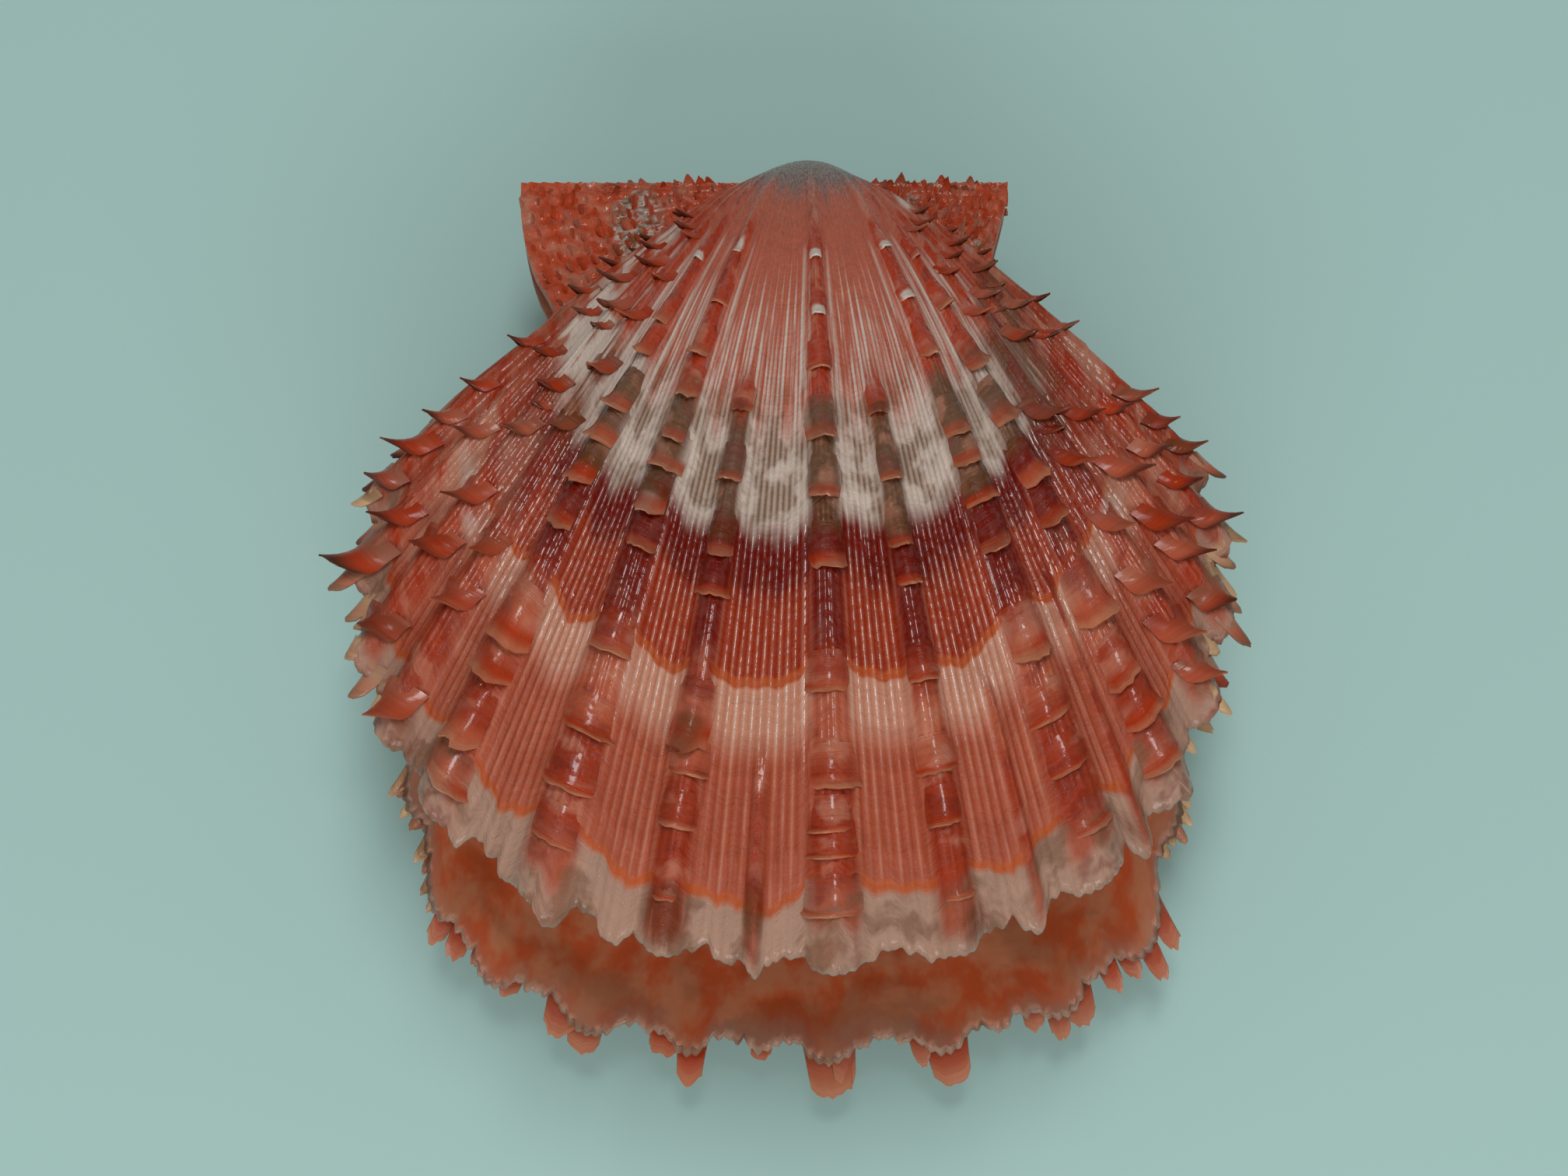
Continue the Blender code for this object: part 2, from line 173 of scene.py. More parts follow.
# Tongues outside the lip of the lower valve: (degrees, half width in millimetres, length).
LIP_TONGUES = (
    (-25.7, 0.55, 2.3), (-24.3, 0.6, 2.3), (-22.6, 0.4, 1.2), (-20.0, 0.6, 1.6), (-16.2, 0.9, 2.4),
    (-14.6, 0.9, 2.3), (-9.2, 0.9, 2.0), (-7.6, 0.7, 2.7), (-3.0, 0.55, 1.6), (1.3, 1.15, 2.9),
    (2.2, 0.6, 2.6), (7.2, 0.5, 2.1), (8.9, 1.05, 2.8), (14.9, 0.55, 1.9), (16.4, 0.55, 2.2),
    (18.0, 0.75, 2.4), (20.4, 0.5, 2.3), (21.8, 0.5, 2.2), (23.3, 0.5, 2.7), (24.8, 0.5, 2.7),
)

# Lobes of the lip of the upper valve: (degrees, half width in degrees, length in millimetres).
UPPER_LOBES = (
    (-23.5, 0.8, 0.7), (-19.7, 0.8, 0.7), (-16.0, 1.0, 0.7), (-12.0, 1.1, 1.0), (-5.3, 0.9, 0.5),
    (-3.1, 0.8, 0.6), (7.3, 0.9, 0.7), (13.5, 0.9, 0.9), (22.0, 0.9, 0.9), (26.5, 0.8, 0.7),
)

# Ribs: how soon they are full, and which part of their width the paint takes for their crest.
RIB_RISE = 0.10
PAINT_RISE = 0.06
CREST_FLAT = 0.45
CREST_FOOT = 0.85

# Pale lines along the feet of the wide ribs: the growth they start at and are full, their place in half
# widths of the rib, and their own half width in degrees.
BORDER_START = 0.24
BORDER_FULL = 0.27
BORDER_PLACE = 1.10
BORDER_WIDTH = 0.36

# Waves along the margin, of the lines of growth and of the lip: (height, radians per degree, shift).
STAGE_WAVES = ((0.0025, 1.3, 0.6), (0.0018, 3.7, 2.0), (0.004, 0.11, 1.0))
RAGGED_WAVES = ((0.17, 2.3, 0.0), (0.12, 5.3, 1.0))

# Fine relief, and painted shade: a dark mark lies in front of each scale, where the shade under its lip
# falls.
SCALE_SHADE_PLACE = 0.012
SCALE_SHADE_REACH = 0.008
SCALE_SHADE_DARKNESS = 0.7
LAST_FADE = 0.65
UPPER_FINGERS = 0.09
LOWER_FINGERS = 0.20
RIBLET_PITCH = 0.65
EAR_RIBLET_PITCH = 3.9
EAR_RIBLET_HEIGHT = 0.20
EAR_STEP = 0.044
EAR_ROWS = 8
FRINGE_PITCH = 1.7
COMB_PITCH = 0.8
GROWTH_LINES = (
    (0.245, 0.10), (0.405, 0.06), (0.475, 0.05), (0.61, 0.10), (0.745, 0.16), (0.81, 0.07),
    (0.955, 0.12),
)
LINE_REACH = 0.022
RIB_EARLY = 0.030
ARCH_REACH = 1.3
FLUTE_DEPTH = 0.45
SWELL_AHEAD = 0.004
SWELL_BACK = 0.016

# Grid of a valve.
DISC_COLUMNS = 640
EAR_COLUMNS = 44
DISC_EDGE = 52.0
OUTER_ROWS = 116
OUTER_CROWDING = 0.7
INNER_ROWS = 17
INNER_CROWDING = 1.7

# Scales: their grid, the half width of those that get a coarser one, and how they lean and stand.
SCALE_ACROSS = 8
SCALE_ALONG = 7
SMALL_SCALE = 0.35
SCALE_LEAN_DEGREES = 48.0
SCALE_GUTTER_DEGREES = 88.0
PEEL_LEAN_DEGREES = 66.0
PEEL_START = 0.4
PEEL_BELLY = 0.55
LIP_LEAN_DEGREES = 66.0
SCALE_FOOT = 0.028
ROOT_BACK = 0.35
ROOT_DROP = 0.32
RAGGED_EDGE = 0.22
TIP_SKEW = 0.7

# Listed scales are small and pointed on the young shell, a little longer than listed up to the middle,
# and shorter on the inner ribs of the grown shell.
YOUNG_GROWTH = 0.36
YOUNG_WIDTH = 0.42
YOUNG_LENGTH = 0.4
YOUNG_TAPER = 0.7
MIDDLE_GROWTH = 0.62
MIDDLE_LENGTH = 1.3
GROWN_GROWTH = 0.78
GROWN_LENGTH = 0.55
GROWN_SIDE = 24.0

# Scales of the rings: the share that is missing, the share that a smaller one follows, and how far to the
# side the tongues of the lower lip reach, in degrees.
MISSING_SHARE = 0.24
FILLED_SHARE = 0.30
TONGUE_SIDE = 33.0

# Ears: first row of scales, thorns of the hinge side and the last growth that a scale stands at, then the
# growth at which the spines of the side margins stand.
EAR_FIRST_DEGREES = 58.5
THORNS = 17
THORN_DEGREES = 87.0
LAST_SCALE_GROWTH = 0.985
FRINGE_GROWTH = 0.99

# Ligament: (distance in front of the hinge line, half width, half height) of its sections.
LIGAMENT_SECTIONS = ((-0.1, 0.55, 0.5), (0.9, 0.8, 0.85), (1.8, 1.0, 1.15))
LIGAMENT_SIDES = 32

# Camera, in the lower valve's own frame: millimetres from the middle of the hinge line.
CAMERA_PLACE = Vector((-1.23, -51.98, 158.8))
CAMERA_ELEVATION_DEGREES = 79.0
CAMERA_VIEW_DEGREES = 28.0

# What the materials read: the inputs of the shell pattern, and the point layers of the same names.
PATTERN_LABELS = ("Stage", "Angle", "Crest", "Border", "Riblet", "Flank", "Rise", "Tone")
PATTERN_LAYERS = (*(label.lower() for label in PATTERN_LABELS), "inside")
NOISE_DETAIL = 3.0
NOISE_ROUGHNESS = 0.55

# Bands of colour along the growth of the shell: (stage where it starts, stage where it is full, colour).
GROOVE_BANDS = (
    (0.13, 0.20, "rose"), (0.44, 0.53, "white"), (0.575, 0.610, "maroon"), (0.645, 0.68, "red"),
    (0.740, 0.746, "amber"), (0.751, 0.756, "blush"), (0.79, 0.835, "coral"), (0.949, 0.955, "amber"),
    (0.957, 0.966, "lip"),
)
LINE_BANDS = (
    (0.13, 0.20, "rose"), (0.26, 0.36, "white"), (0.585, 0.625, "maroon"), (0.625, 0.66, "blush"),
    (0.740, 0.746, "amber"), (0.751, 0.756, "white"), (0.79, 0.835, "blush"), (0.949, 0.955, "amber"),
    (0.957, 0.966, "lip"),
)
RIB_BANDS = (
    (0.13, 0.20, "rose"), (0.24, 0.27, "orange"), (0.46, 0.50, "olive"), (0.61, 0.64, "maroon"),
    (0.72, 0.765, "red"), (0.772, 0.79, "salmon"), (0.84, 0.87, "red"), (0.965, 0.985, "coral"),
    (0.99, 1.01, "lip"),
)


def smoothstep(low, high, value):
    """Eases from 0 at low to 1 at high."""
    share = np.clip((value - low) / (high - low), 0.0, 1.0)
    return share * share * (3.0 - 2.0 * share)


def bell(offset, reach):
    """Falls from 1 at no offset towards 0 beyond its reach."""
    return np.exp(-((offset / reach) ** 2))


def ripple(angle, waves):
    """A sum of waves along the margin."""
    return sum(height * np.sin(pitch * angle + shift) for height, pitch, shift in waves)


def unit(vectors):
    """The same vectors with a length of 1."""
    return vectors / np.linalg.norm(vectors, axis=-1, keepdims=True)


def rib_profile(offset, half_width):
    """Height of a rounded rib, 1 on its crest and 0 at its foot."""
    share = np.minimum(1.0, np.abs(offset) / half_width)
    return (1.0 - share * share) ** 2


class Scale:
    """One scale: where it stands, how long and wide it is, and how it looks.

    lean is the angle between the scale and the outward normal, swing turns the lean from the direction of
    growth towards greater angles, and gutter is half the turn of the scale's curved cross-section, all in
    degrees. A scale that peels starts as the skin of its rib. Any other stands on a root in the shell, as
    deep as sink.
    """

    def __init__(
        self, angle, growth, length, half_width, taper, lean, tone, gutter=72.0,
        swing=0.0, peels=False, sink=0.30,
    ):
        self.angle = angle
        self.growth = growth
        self.length = length
        self.half_width = half_width
        self.taper = taper
        self.lean = math.radians(lean)
        self.tone = tone
        self.gutter = math.radians(gutter)
        self.swing = math.radians(swing)
        self.peels = peels
        self.sink = sink


class Valve:
    """The rules that one valve grows by.

    In its own frame x follows the hinge, y leads to it and z points outwards.
    """

    def __init__(self, name, disc, ribs, threads, rings):
        self.name = name
        margin = (*LEFT_EAR, *disc, *RIGHT_EAR)
        self.angles = np.array([angle for angle, _ in margin])
        self.radii = np.array([radius for _, radius in margin])
        self.ribs = ribs
        self.threads = threads
        self.rings = rings
        self.scales = []
        self.marks = ()
        self.lobes = ()
        sizes = bpy.context.scene.scallop_sizes
        self.rib_height = sizes.rib_height / MM
        self.riblet_height = sizes.riblet_height / MM
        self.swelling = sizes.swelling / MM
        self.scale_wall = sizes.scale_wall / MM

    def radius(self, angle):
        """Radius of the margin at an angle, along a smooth curve through its points."""
        angles, radii = self.angles, self.radii
        last = len(angles) - 1
        i = np.clip(np.searchsorted(angles, angle, side="right") - 1, 0, last - 1)
        before = np.maximum(i - 1, 0)
        after = np.minimum(i + 2, last)
        width = angles[i + 1] - angles[i]
        t = (angle - angles[i]) / width
        slope_in = (radii[i + 1] - radii[before]) / (angles[i + 1] - angles[before]) * width
        slope_out = (radii[after] - radii[i]) / (angles[after] - angles[i]) * width
        t2 = t * t
        t3 = t2 * t
        return (
            (2 * t3 - 3 * t2 + 1) * radii[i]
            + (t3 - 2 * t2 + t) * slope_in
            + (3 * t2 - 2 * t3) * radii[i + 1]
            + (t3 - t2) * slope_out
        )

    def point(self, angle, growth):
        """Point of the middle surface."""
        radius = self.radius(angle) * growth
        flank = smoothstep(FLANK_START, FLANK_END, np.abs(angle))
        turn = -np.log(growth) / SPIRAL_RATE * (1.0 - flank * (1.0 - EAR_TURN))
        across = radius * np.sin(np.radians(angle))
        along = radius * np.cos(np.radians(angle))
        return np.stack([across, -along * np.cos(turn), along * np.sin(turn)], axis=-1)

    def axes(self, angle, growth):
        """Outward normal of the middle surface, and its direction of growth."""
        angle = np.clip(angle, -89.0, 89.0)
        aside = self.point(angle + 0.25, growth) - self.point(angle - 0.25, growth)
        forward = self.point(angle, growth * 1.01) - self.point(angle, growth * 0.99)
        return unit(np.cross(forward, aside)), unit(forward)

    def wall(self, angle, growth):
        """Thickness of the shell."""
        disc = EDGE_WALL + (BEAK_WALL - EDGE_WALL) * (1.0 - growth)
        flank = smoothstep(FLANK_START, FLANK_END, np.abs(angle))
        return disc + (EAR_WALL - disc) * flank

    def rib_relief(self, angle, growth):
        """Height of the main ribs above the shell between them."""
        height = 0.0 * angle * growth
        for centre, half_width, start, _ in self.ribs:
            grown = smoothstep(start, start + RIB_RISE, growth)
            height = np.maximum(height, grown * rib_profile(angle - centre, half_width))
        return self.rib_height * growth**0.8 * height

    def crest(self, angle, growth):
        """Share of a rib at a place, from 0 between ribs to 1 on a rib, for the colours."""
        share = 0.0 * angle * growth
        for centre, half_width, start, _ in self.ribs:
            grown = smoothstep(start, start + PAINT_RISE, growth)
            aside = np.abs(angle - centre) / half_width
            share = np.maximum(share, grown * (1.0 - smoothstep(CREST_FLAT, CREST_FOOT, aside)))
        for centre, half_width, start, _ in self.threads:
            grown = smoothstep(start, start + 0.03, growth)
            share = np.maximum(share, grown * rib_profile(angle - centre, half_width))
        return share

    def border(self, angle, growth):
        """Share of the pale lines along both feet of the wide ribs."""
        share = 0.0 * angle * growth
        for centre, half_width, start, _ in self.ribs:
            if start < EARLY_RIB:
                grown = smoothstep(BORDER_START, BORDER_FULL, growth)
                from_line = np.abs(angle - centre) - BORDER_PLACE * half_width
                share = np.maximum(share, grown * bell(from_line, BORDER_WIDTH))
        return share

    def riblet(self, angle, growth):
        """Profile of the fine riblets, from 0 in a groove to 1 on top. Every other one starts late."""
        turn = angle / RIBLET_PITCH
        wave = 0.5 + 0.5 * np.cos(math.tau * turn)
        late = np.round(turn) % 2
        grown = smoothstep(0.10, 0.22, growth) * (1.0 - late * (1.0 - smoothstep(0.28, 0.52, growth)))
        disc = 1.0 - smoothstep(FLANK_START + 3.0, FLANK_END - 3.0, np.abs(angle))
        return wave**0.8 * grown * disc

    def ear(self, angle):
        """Share of an ear at an angle, 0 on the disc and 1 on an ear."""
        return smoothstep(FLANK_END - 2.0, FLANK_END + 2.0, np.abs(angle))

    def flank(self, angle):
        """Share of the flanks for the colours: 0 in the middle, 1 on the sides and 2 on the ears."""
        return smoothstep(FLANK_PAINT_START, FLANK_PAINT_END, np.abs(angle)) + self.ear(angle)

    def stage(self, angle, growth):
        """Growth as the bands and lines of growth follow it: early on the ribs, and a little wavy."""
        arch = 0.0 * angle
        for centre, half_width, start, _ in self.ribs:
            early = RIB_EARLY if start < EARLY_RIB else 0.4 * RIB_EARLY
            arch = np.maximum(arch, early * bell(angle - centre, ARCH_REACH * half_width))
        return growth + arch + ripple(angle, STAGE_WAVES) * growth

    def growth_lines(self, stage):
        """Raised edges where the shell once stopped growing."""
        height = 0.0 * stage
        for line, step in GROWTH_LINES:
            before = np.clip(line - stage, 0.0, None)
            height = height + np.where(stage <= line, step * np.exp(-before / LINE_REACH), 0.0)
        return height

    def width_degrees(self, scale):
        """Half width of a scale as an angle at its foot."""
        return math.degrees(scale.half_width / (scale.growth * float(self.radius(scale.angle))))

    def near_scale(self, scale, aside):
        """Share of a scale's own swelling at an angle aside of it."""
        return bell(aside, 0.8 * self.width_degrees(scale) + 0.3)

    def swellings(self, angle, growth):
        """Two fields around the scales: how far the rib swells there, and the tone of its marks and of
        the painted shade in front of each scale.
        """
        rise = 0.0 * angle * growth
        tone = 0.0 * angle * growth
        for scale in self.scales:
            near = self.near_scale(scale, angle - scale.angle)
            behind = scale.growth - growth
            swell = bell(np.minimum(behind, 0.0), SWELL_AHEAD) * bell(np.maximum(behind, 0.0), SWELL_BACK)
            rise = rise + near * swell * min(1.0, 0.5 * scale.length)
            tone = tone + near * swell * scale.tone
            # Painted shade: a dark mark just in front of each scale, where the shade under its lip falls,
            # weaker on the ears.
            scale_shade = bell(growth - scale.growth - SCALE_SHADE_PLACE, SCALE_SHADE_REACH)
            dark = SCALE_SHADE_DARKNESS * min(1.0, scale.length) * (1.0 - 0.75 * float(self.ear(scale.angle)))
            tone = tone - dark * near * scale_shade
        for centre, middle, half_width, half_height, strength in self.marks:
            tone = tone + strength * bell(angle - centre, half_width) * bell(growth - middle, half_height)
        return self.swelling * rise, np.clip(tone, -1.0, 1.0)

    def ear_relief(self, angle, growth):
        """Radial riblets and overlapping steps of growth on the ears."""
        turn = np.abs(angle) / EAR_RIBLET_PITCH
        wave = (0.5 + 0.5 * np.cos(math.tau * turn)) ** 1.5
        step = (growth + 0.012 * np.sin(2.1 * angle)) / EAR_STEP % 1.0
        return EAR_RIBLET_HEIGHT * growth**0.6 * (0.55 * wave + (0.25 + 0.75 * wave) * step**2)

    def outer(self, angle, growth):
        """Point of the outer surface, without the swellings round the scales."""
        normal, forward = self.axes(angle, growth)
        ear = self.ear(angle)
        lift = 0.5 * self.wall(angle, growth) + self.rib_relief(angle, growth)
        for centre, half_width, start, part in self.threads:
            grown = smoothstep(start, start + 0.05, growth)
            lift = lift + part * self.rib_height * grown * rib_profile(angle - centre, half_width)
        stage = self.stage(angle, growth)
        fading = 1.0 - LAST_FADE * smoothstep(LAST_GROWTH, 0.96, stage) * (1.0 - ear)
        lift = lift + self.riblet_height * growth**0.7 * fading * self.riblet(angle, growth) ** 0.6
        lift = lift + (1.0 - ear) * growth * self.growth_lines(stage)
        lift = lift + ear * self.ear_relief(angle, growth)
        run = self.tongue(angle, growth)
        return self.point(angle, growth) + normal * lift[..., None] + forward * run[..., None]

    def trim(self, angle):
        """How far the lower margin stays back beside the lip, where spines reach the outline."""
        if self.name == "upper":
            return 0.0 * angle
        away = np.abs(angle)
        return LIP_TRIM * (smoothstep(24.5, 28.0, away) - smoothstep(36.0, 42.0, away))

    def tongue(self, angle, growth):
        """How far the margin runs on past the smooth outline, on the ribs and a little on the riblets."""
        last = smoothstep(LAST_GROWTH, 1.0, growth)
        share = 0.0 * angle * growth
        for centre, half_width, _, _ in self.ribs:
            foot = 0.4 * rib_profile(angle - centre, 1.6 * half_width)
            share = np.maximum(share, foot + 0.6 * rib_profile(angle - centre, 0.75 * half_width) ** 0.3)
        for centre, half_width, _, _ in self.threads:
            share = np.maximum(share, 0.7 * rib_profile(angle - centre, 1.2 * half_width) ** 0.3)
        ragged = ripple(angle, RAGGED_WAVES)
        fingers = LOWER_FINGERS if self.name == "lower" else UPPER_FINGERS
        fine = fingers * self.riblet(angle, growth)
        lobe = 0.0 * angle
        for centre, half_width, reach in self.lobes:
            lobe = np.maximum(lobe, reach * rib_profile(angle - centre, half_width) ** 0.4)
        run = TONGUE * share + fine + ragged * (1.0 - share) - self.trim(angle) + lobe
        return last * run * (1.0 - self.ear(angle))

    def inner(self, angle, growth):
        """Point of the inner surface, with flutes under the ribs near the margin."""
        normal, forward = self.axes(angle, growth)
        flute = 0.0 * angle * growth
        for centre, half_width, _, _ in self.ribs:
            flute = np.maximum(flute, rib_profile(angle - centre, 1.3 * half_width))
        depth = FLUTE_DEPTH * smoothstep(0.60, 1.0, growth) * flute
        drop = 0.5 * self.wall(angle, growth) - depth
        run = self.tongue(angle, growth)
        return self.point(angle, growth) - normal * drop[..., None] + forward * run[..., None]

    def chance(self, rib, ring, purpose):
        """A number from 0 to 1 that belongs to one scale and one purpose."""
        return random.Random(f"{self.name} {rib} {ring} {purpose}").random()

    def scale_length(self, rib, ring):
        """Length of a scale on a ring, as in the frame's solids."""
        _, _, start, full = self.ribs[rib]
        growth = self.rings[ring]
        if growth < start + 0.03:
            return 0.0
        return full * (0.25 + 0.75 * growth) * (0.75 + 0.35 * self.chance(rib, ring, "length"))

    def is_lip(self, ring):
        """Whether a ring carries the tongues that stand out past the lip of the lower valve."""
        return self.name == "lower" and ring == len(self.rings) - 1

    def ring_growth(self, rib, ring):
        """Growth at which a rib's scale on a ring stands."""
        return self.rings[ring] + RING_JITTER * (2.0 * self.chance(rib, ring, "shift") - 1.0)

    def rib_width(self, rib, growth):
        """Half width of a rib in millimetres."""
        centre, half_width, _, _ = self.ribs[rib]
        return math.radians(half_width) * float(self.radius(centre)) * growth


def listed_scales(valve, table):
    """Scales given one by one for the wide ribs."""
    for rib, scales in table.items():
        centre = valve.ribs[rib][0]
        for number, (growth, length, tone) in enumerate(scales):
            width = (0.45 + 0.30 * valve.chance(rib, number, "wide")) * valve.rib_width(rib, growth)
            taper = 0.10 + 0.35 * valve.chance(rib, number, "taper")
            if growth < YOUNG_GROWTH:
                width = YOUNG_WIDTH * valve.rib_width(rib, growth)
                length = YOUNG_LENGTH * length
                taper = YOUNG_TAPER
            angle = centre + 0.4 * (valve.chance(rib, number, "aside") - 0.5)
            if growth < MIDDLE_GROWTH:
                length = MIDDLE_LENGTH * length
            if growth > GROWN_GROWTH and abs(centre) < GROWN_SIDE:
                length = GROWN_LENGTH * length
            lean = PEEL_LEAN_DEGREES + 16.0 * (valve.chance(rib, number, "lean") - 0.5)
            valve.scales.append(Scale(angle, growth, length, width, taper, lean, tone, peels=True))


def ring_scales(valve, ribs):
    """Scales on the rings of the narrow ribs, and smaller ones between the rings."""
    for rib in ribs:
        centre = valve.ribs[rib][0]
        for ring in range(len(valve.rings)):
            length = valve.scale_length(rib, ring)
            if length <= 0.0 or valve.is_lip(ring) and abs(centre) < TONGUE_SIDE:
                continue
            growth = valve.ring_growth(rib, ring)
            missing = valve.name == "upper" and valve.chance(rib, ring, "missing") < MISSING_SHARE
            if missing and 0.4 < growth < 0.9:
                continue
            width = (0.62 + 0.3 * valve.chance(rib, ring, "width")) * valve.rib_width(rib, growth)
            taper = 0.60 + 0.30 * valve.chance(rib, ring, "taper")
            tone = 0.9 * (valve.chance(rib, ring, "tone") - 0.75)
            if valve.name == "upper":
                length = length * (0.85 + 0.55 * valve.chance(rib, ring, "grown"))
            else:
                length = max(0.3, length - BELLY_TRIM)
            shape = (taper, SCALE_LEAN_DEGREES, tone)
            valve.scales.append(Scale(centre, growth, length, width, *shape, SCALE_GUTTER_DEGREES))
            filled = valve.chance(rib, ring, "filled") < FILLED_SHARE
            if filled and ring + 1 < len(valve.rings) and 0.35 < growth < 0.6:
                growth = 0.5 * (growth + valve.rings[ring + 1])
                growth = growth + 0.01 * valve.chance(rib, ring, "between")
                small = (0.25 + 0.25 * valve.chance(rib, ring, "small")) * length
                valve.scales.append(Scale(centre, growth, small, 0.8 * width, *shape))


def lip_scales(valve):
    """The tongues that stand out past the lip of the lower valve."""
    growth = valve.rings[-1]
    for angle, half_width, length in LIP_TONGUES:
        width = 0.95 * half_width
        tongue = Scale(angle, growth, length + 0.4, width, 0.1, LIP_LEAN_DEGREES, 0.0, 24.0, sink=0.0)
        valve.scales.append(tongue)


def ear_scales(valve):
    """Small scales in fanned rows on the ears, and thorns along their hinge side."""
    for side in (-1.0, 1.0):
        for row in range(EAR_ROWS):
            angle = EAR_FIRST_DEGREES + EAR_RIBLET_PITCH * row
            for number in range(round(0.76 / EAR_STEP)):
                place = number + 0.5 * (row % 2) + 0.4 * valve.chance(row, number, f"place {side}")
                growth = 0.25 + EAR_STEP * place
                if growth > LAST_SCALE_GROWTH:
                    continue
                length = (0.14 + 0.22 * valve.chance(row, number, f"ear {side}")) * (0.5 + 0.5 * growth)
                tone = 0.9 * (valve.chance(row, number, f"tone {side}") - 0.55)
                aside = side * (angle + 2.0 * (valve.chance(row, number, f"aside {side}") - 0.5))
                width = 0.24 + 0.20 * valve.chance(row, number, f"width {side}")
                lean = 50.0 + 30.0 * valve.chance(row, number, f"lean {side}")
                valve.scales.append(Scale(aside, growth, length, width, 0.2, lean, tone, 50.0))
        for number in range(THORNS):
            growth = 0.32 + 0.040 * number + 0.02 * valve.chance(side, number, "thorn")
            length = 0.25 + 0.55 * valve.chance(side, number, "thorn length") ** 2
            tone = 1.2 * (valve.chance(side, number, "thorn tone") - 0.6)
            lean = 35.0 + 30.0 * valve.chance(side, number, "thorn lean")
            angle = side * THORN_DEGREES
            thorn = Scale(angle, growth, length, 0.42, 0.55, lean, tone, 60.0, swing=side * 70.0)
            valve.scales.append(thorn)


def fringe_scales(valve, places, pitch, lean_degrees, paleness):
    """Fine pale spines along the side margins of a valve."""
    for first, last in places:
        for number in range(int((last - first) / pitch)):
            angle = first + pitch * (number + 0.5 * valve.chance(first, number, "fringe"))
            length = 0.3 + 0.35 * pitch + 0.9 * valve.chance(first, number, "fringe length")
            lean = lean_degrees + 10.0 * valve.chance(first, number, "fringe lean")
            tone = paleness + 0.5 * valve.chance(first, number, "fringe tone")
            width = 0.12 * pitch + 0.12 + 0.16 * valve.chance(first, number, "fringe width")
            spine = Scale(angle, FRINGE_GROWTH, length, width, 0.35, lean, tone, 40.0, sink=0.15)
            valve.scales.append(spine)


def valve_columns():
    """Angles of the columns of a valve's grid, from the tip of one ear to the tip of the other."""
    disc = np.linspace(-DISC_EDGE, DISC_EDGE, DISC_COLUMNS + 1)
    ear = np.linspace(DISC_EDGE, 90.0, EAR_COLUMNS + 1)[1:]
    return np.concatenate([-ear[::-1], disc, ear])


def valve_sheet(valve):
    """Points and pattern values of the folded sheet, rows by columns: out to the lip, and back in."""
    angle = valve_columns()[None, :]
    rows_out = np.linspace(BEAK_GROWTH**OUTER_CROWDING, 1.0, OUTER_ROWS + 1)[:, None]
    growth_out = rows_out ** (1.0 / OUTER_CROWDING)
    rows_in = np.linspace(0.0, 1.0, INNER_ROWS + 1)[:, None]
    growth_in = 1.0 - (1.0 - INNER_BEAK_GROWTH) * rows_in**INNER_CROWDING
    outer = valve.outer(angle, growth_out)
    swelling, tone = valve.swellings(angle, growth_out)
    normal, _ = valve.axes(angle, growth_out)
    outer = outer + normal * (swelling * (1.0 - valve.ear(angle)))[..., None]
    inner = valve.inner(angle, growth_in)
    _, forward = valve.axes(angle, np.ones((1, 1)))
    lip = 0.5 * (outer[-1:] + inner[:1]) + LIP_ROUND * forward * (1.0 - valve.ear(angle))[..., None]
    points = np.concatenate([outer, lip, inner])
    growth = np.concatenate([growth_out, [[1.0]], growth_in])
    inside = np.concatenate([np.zeros(OUTER_ROWS + 1), [0.5], np.ones(INNER_ROWS + 1)])[:, None]
    whole = np.zeros(points.shape[:2])
    stage = valve.stage(angle, growth_out) - 0.008 * smoothstep(26.0, 40.0, np.abs(angle))
    values = {
        "stage": np.concatenate([stage, stage[-1:], whole[: INNER_ROWS + 1] + growth_in]),
        "angle": whole + angle,
        "crest": valve.crest(angle, growth),
        "border": valve.border(angle, growth),
        "riblet": valve.riblet(angle, growth),
        "flank": whole + valve.flank(angle),
        "rise": whole,
        "tone": np.concatenate([tone, tone[-1:], np.zeros((INNER_ROWS + 1, tone.shape[1]))]),
        "inside": whole + inside,
    }
    return points, values


def pattern_layers(mesh):
    """The point layers that the materials read."""
    return {name: mesh.verts.layers.float.new(name) for name in PATTERN_LAYERS}


def lay_grid(mesh, layers, points, values):
    """Adds a grid and bends it onto points with pattern values, both given as rows by columns."""
    rows, columns = points.shape[:2]
    made = bmesh.ops.create_grid(mesh, x_segments=columns - 1, y_segments=rows - 1, size=1.0)
    for vert in made["verts"]:
        i = round((vert.co.x + 1.0) / 2.0 * (columns - 1))
        j = round((vert.co.y + 1.0) / 2.0 * (rows - 1))
        vert.co = points[j, i]
        for name, layer in layers.items():
            vert[layer] = values[name][j, i]


def shape_shell(mesh, valve):
    """Folds a grid into the valve and closes it along the hinge."""
    layers = pattern_layers(mesh)
    lay_grid(mesh, layers, *valve_sheet(valve))
    for face in mesh.faces:
        face.material_index = int(all(vert[layers["inside"]] > 0.9 for vert in face.verts))
    rim = [edge for edge in mesh.edges if edge.is_boundary]
    bmesh.ops.triangle_fill(mesh, use_beauty=True, use_dissolve=False, edges=rim)


def scale_grid(scale):
    """Places across a scale, from -1 to 1, and along it, from 0 to 1."""
    coarser = 2 if scale.half_width < SMALL_SCALE else 1
    across = np.linspace(-1.0, 1.0, SCALE_ACROSS // coarser + 1)
    along = np.linspace(0.0, 1.0, SCALE_ALONG // coarser + 1)
    return across[None, :], along[:, None]


def raggedness(valve, scale, columns):
    """The sideways lean of a scale's tip, and how much shorter or longer each of its columns is."""
    noise = random.Random(f"{valve.name} {scale.angle:.3f} {scale.growth:.3f}")
    skew = TIP_SKEW * (noise.random() - 0.5)
    return skew, np.array([RAGGED_EDGE * (noise.random() - 0.5) for _ in range(columns)])


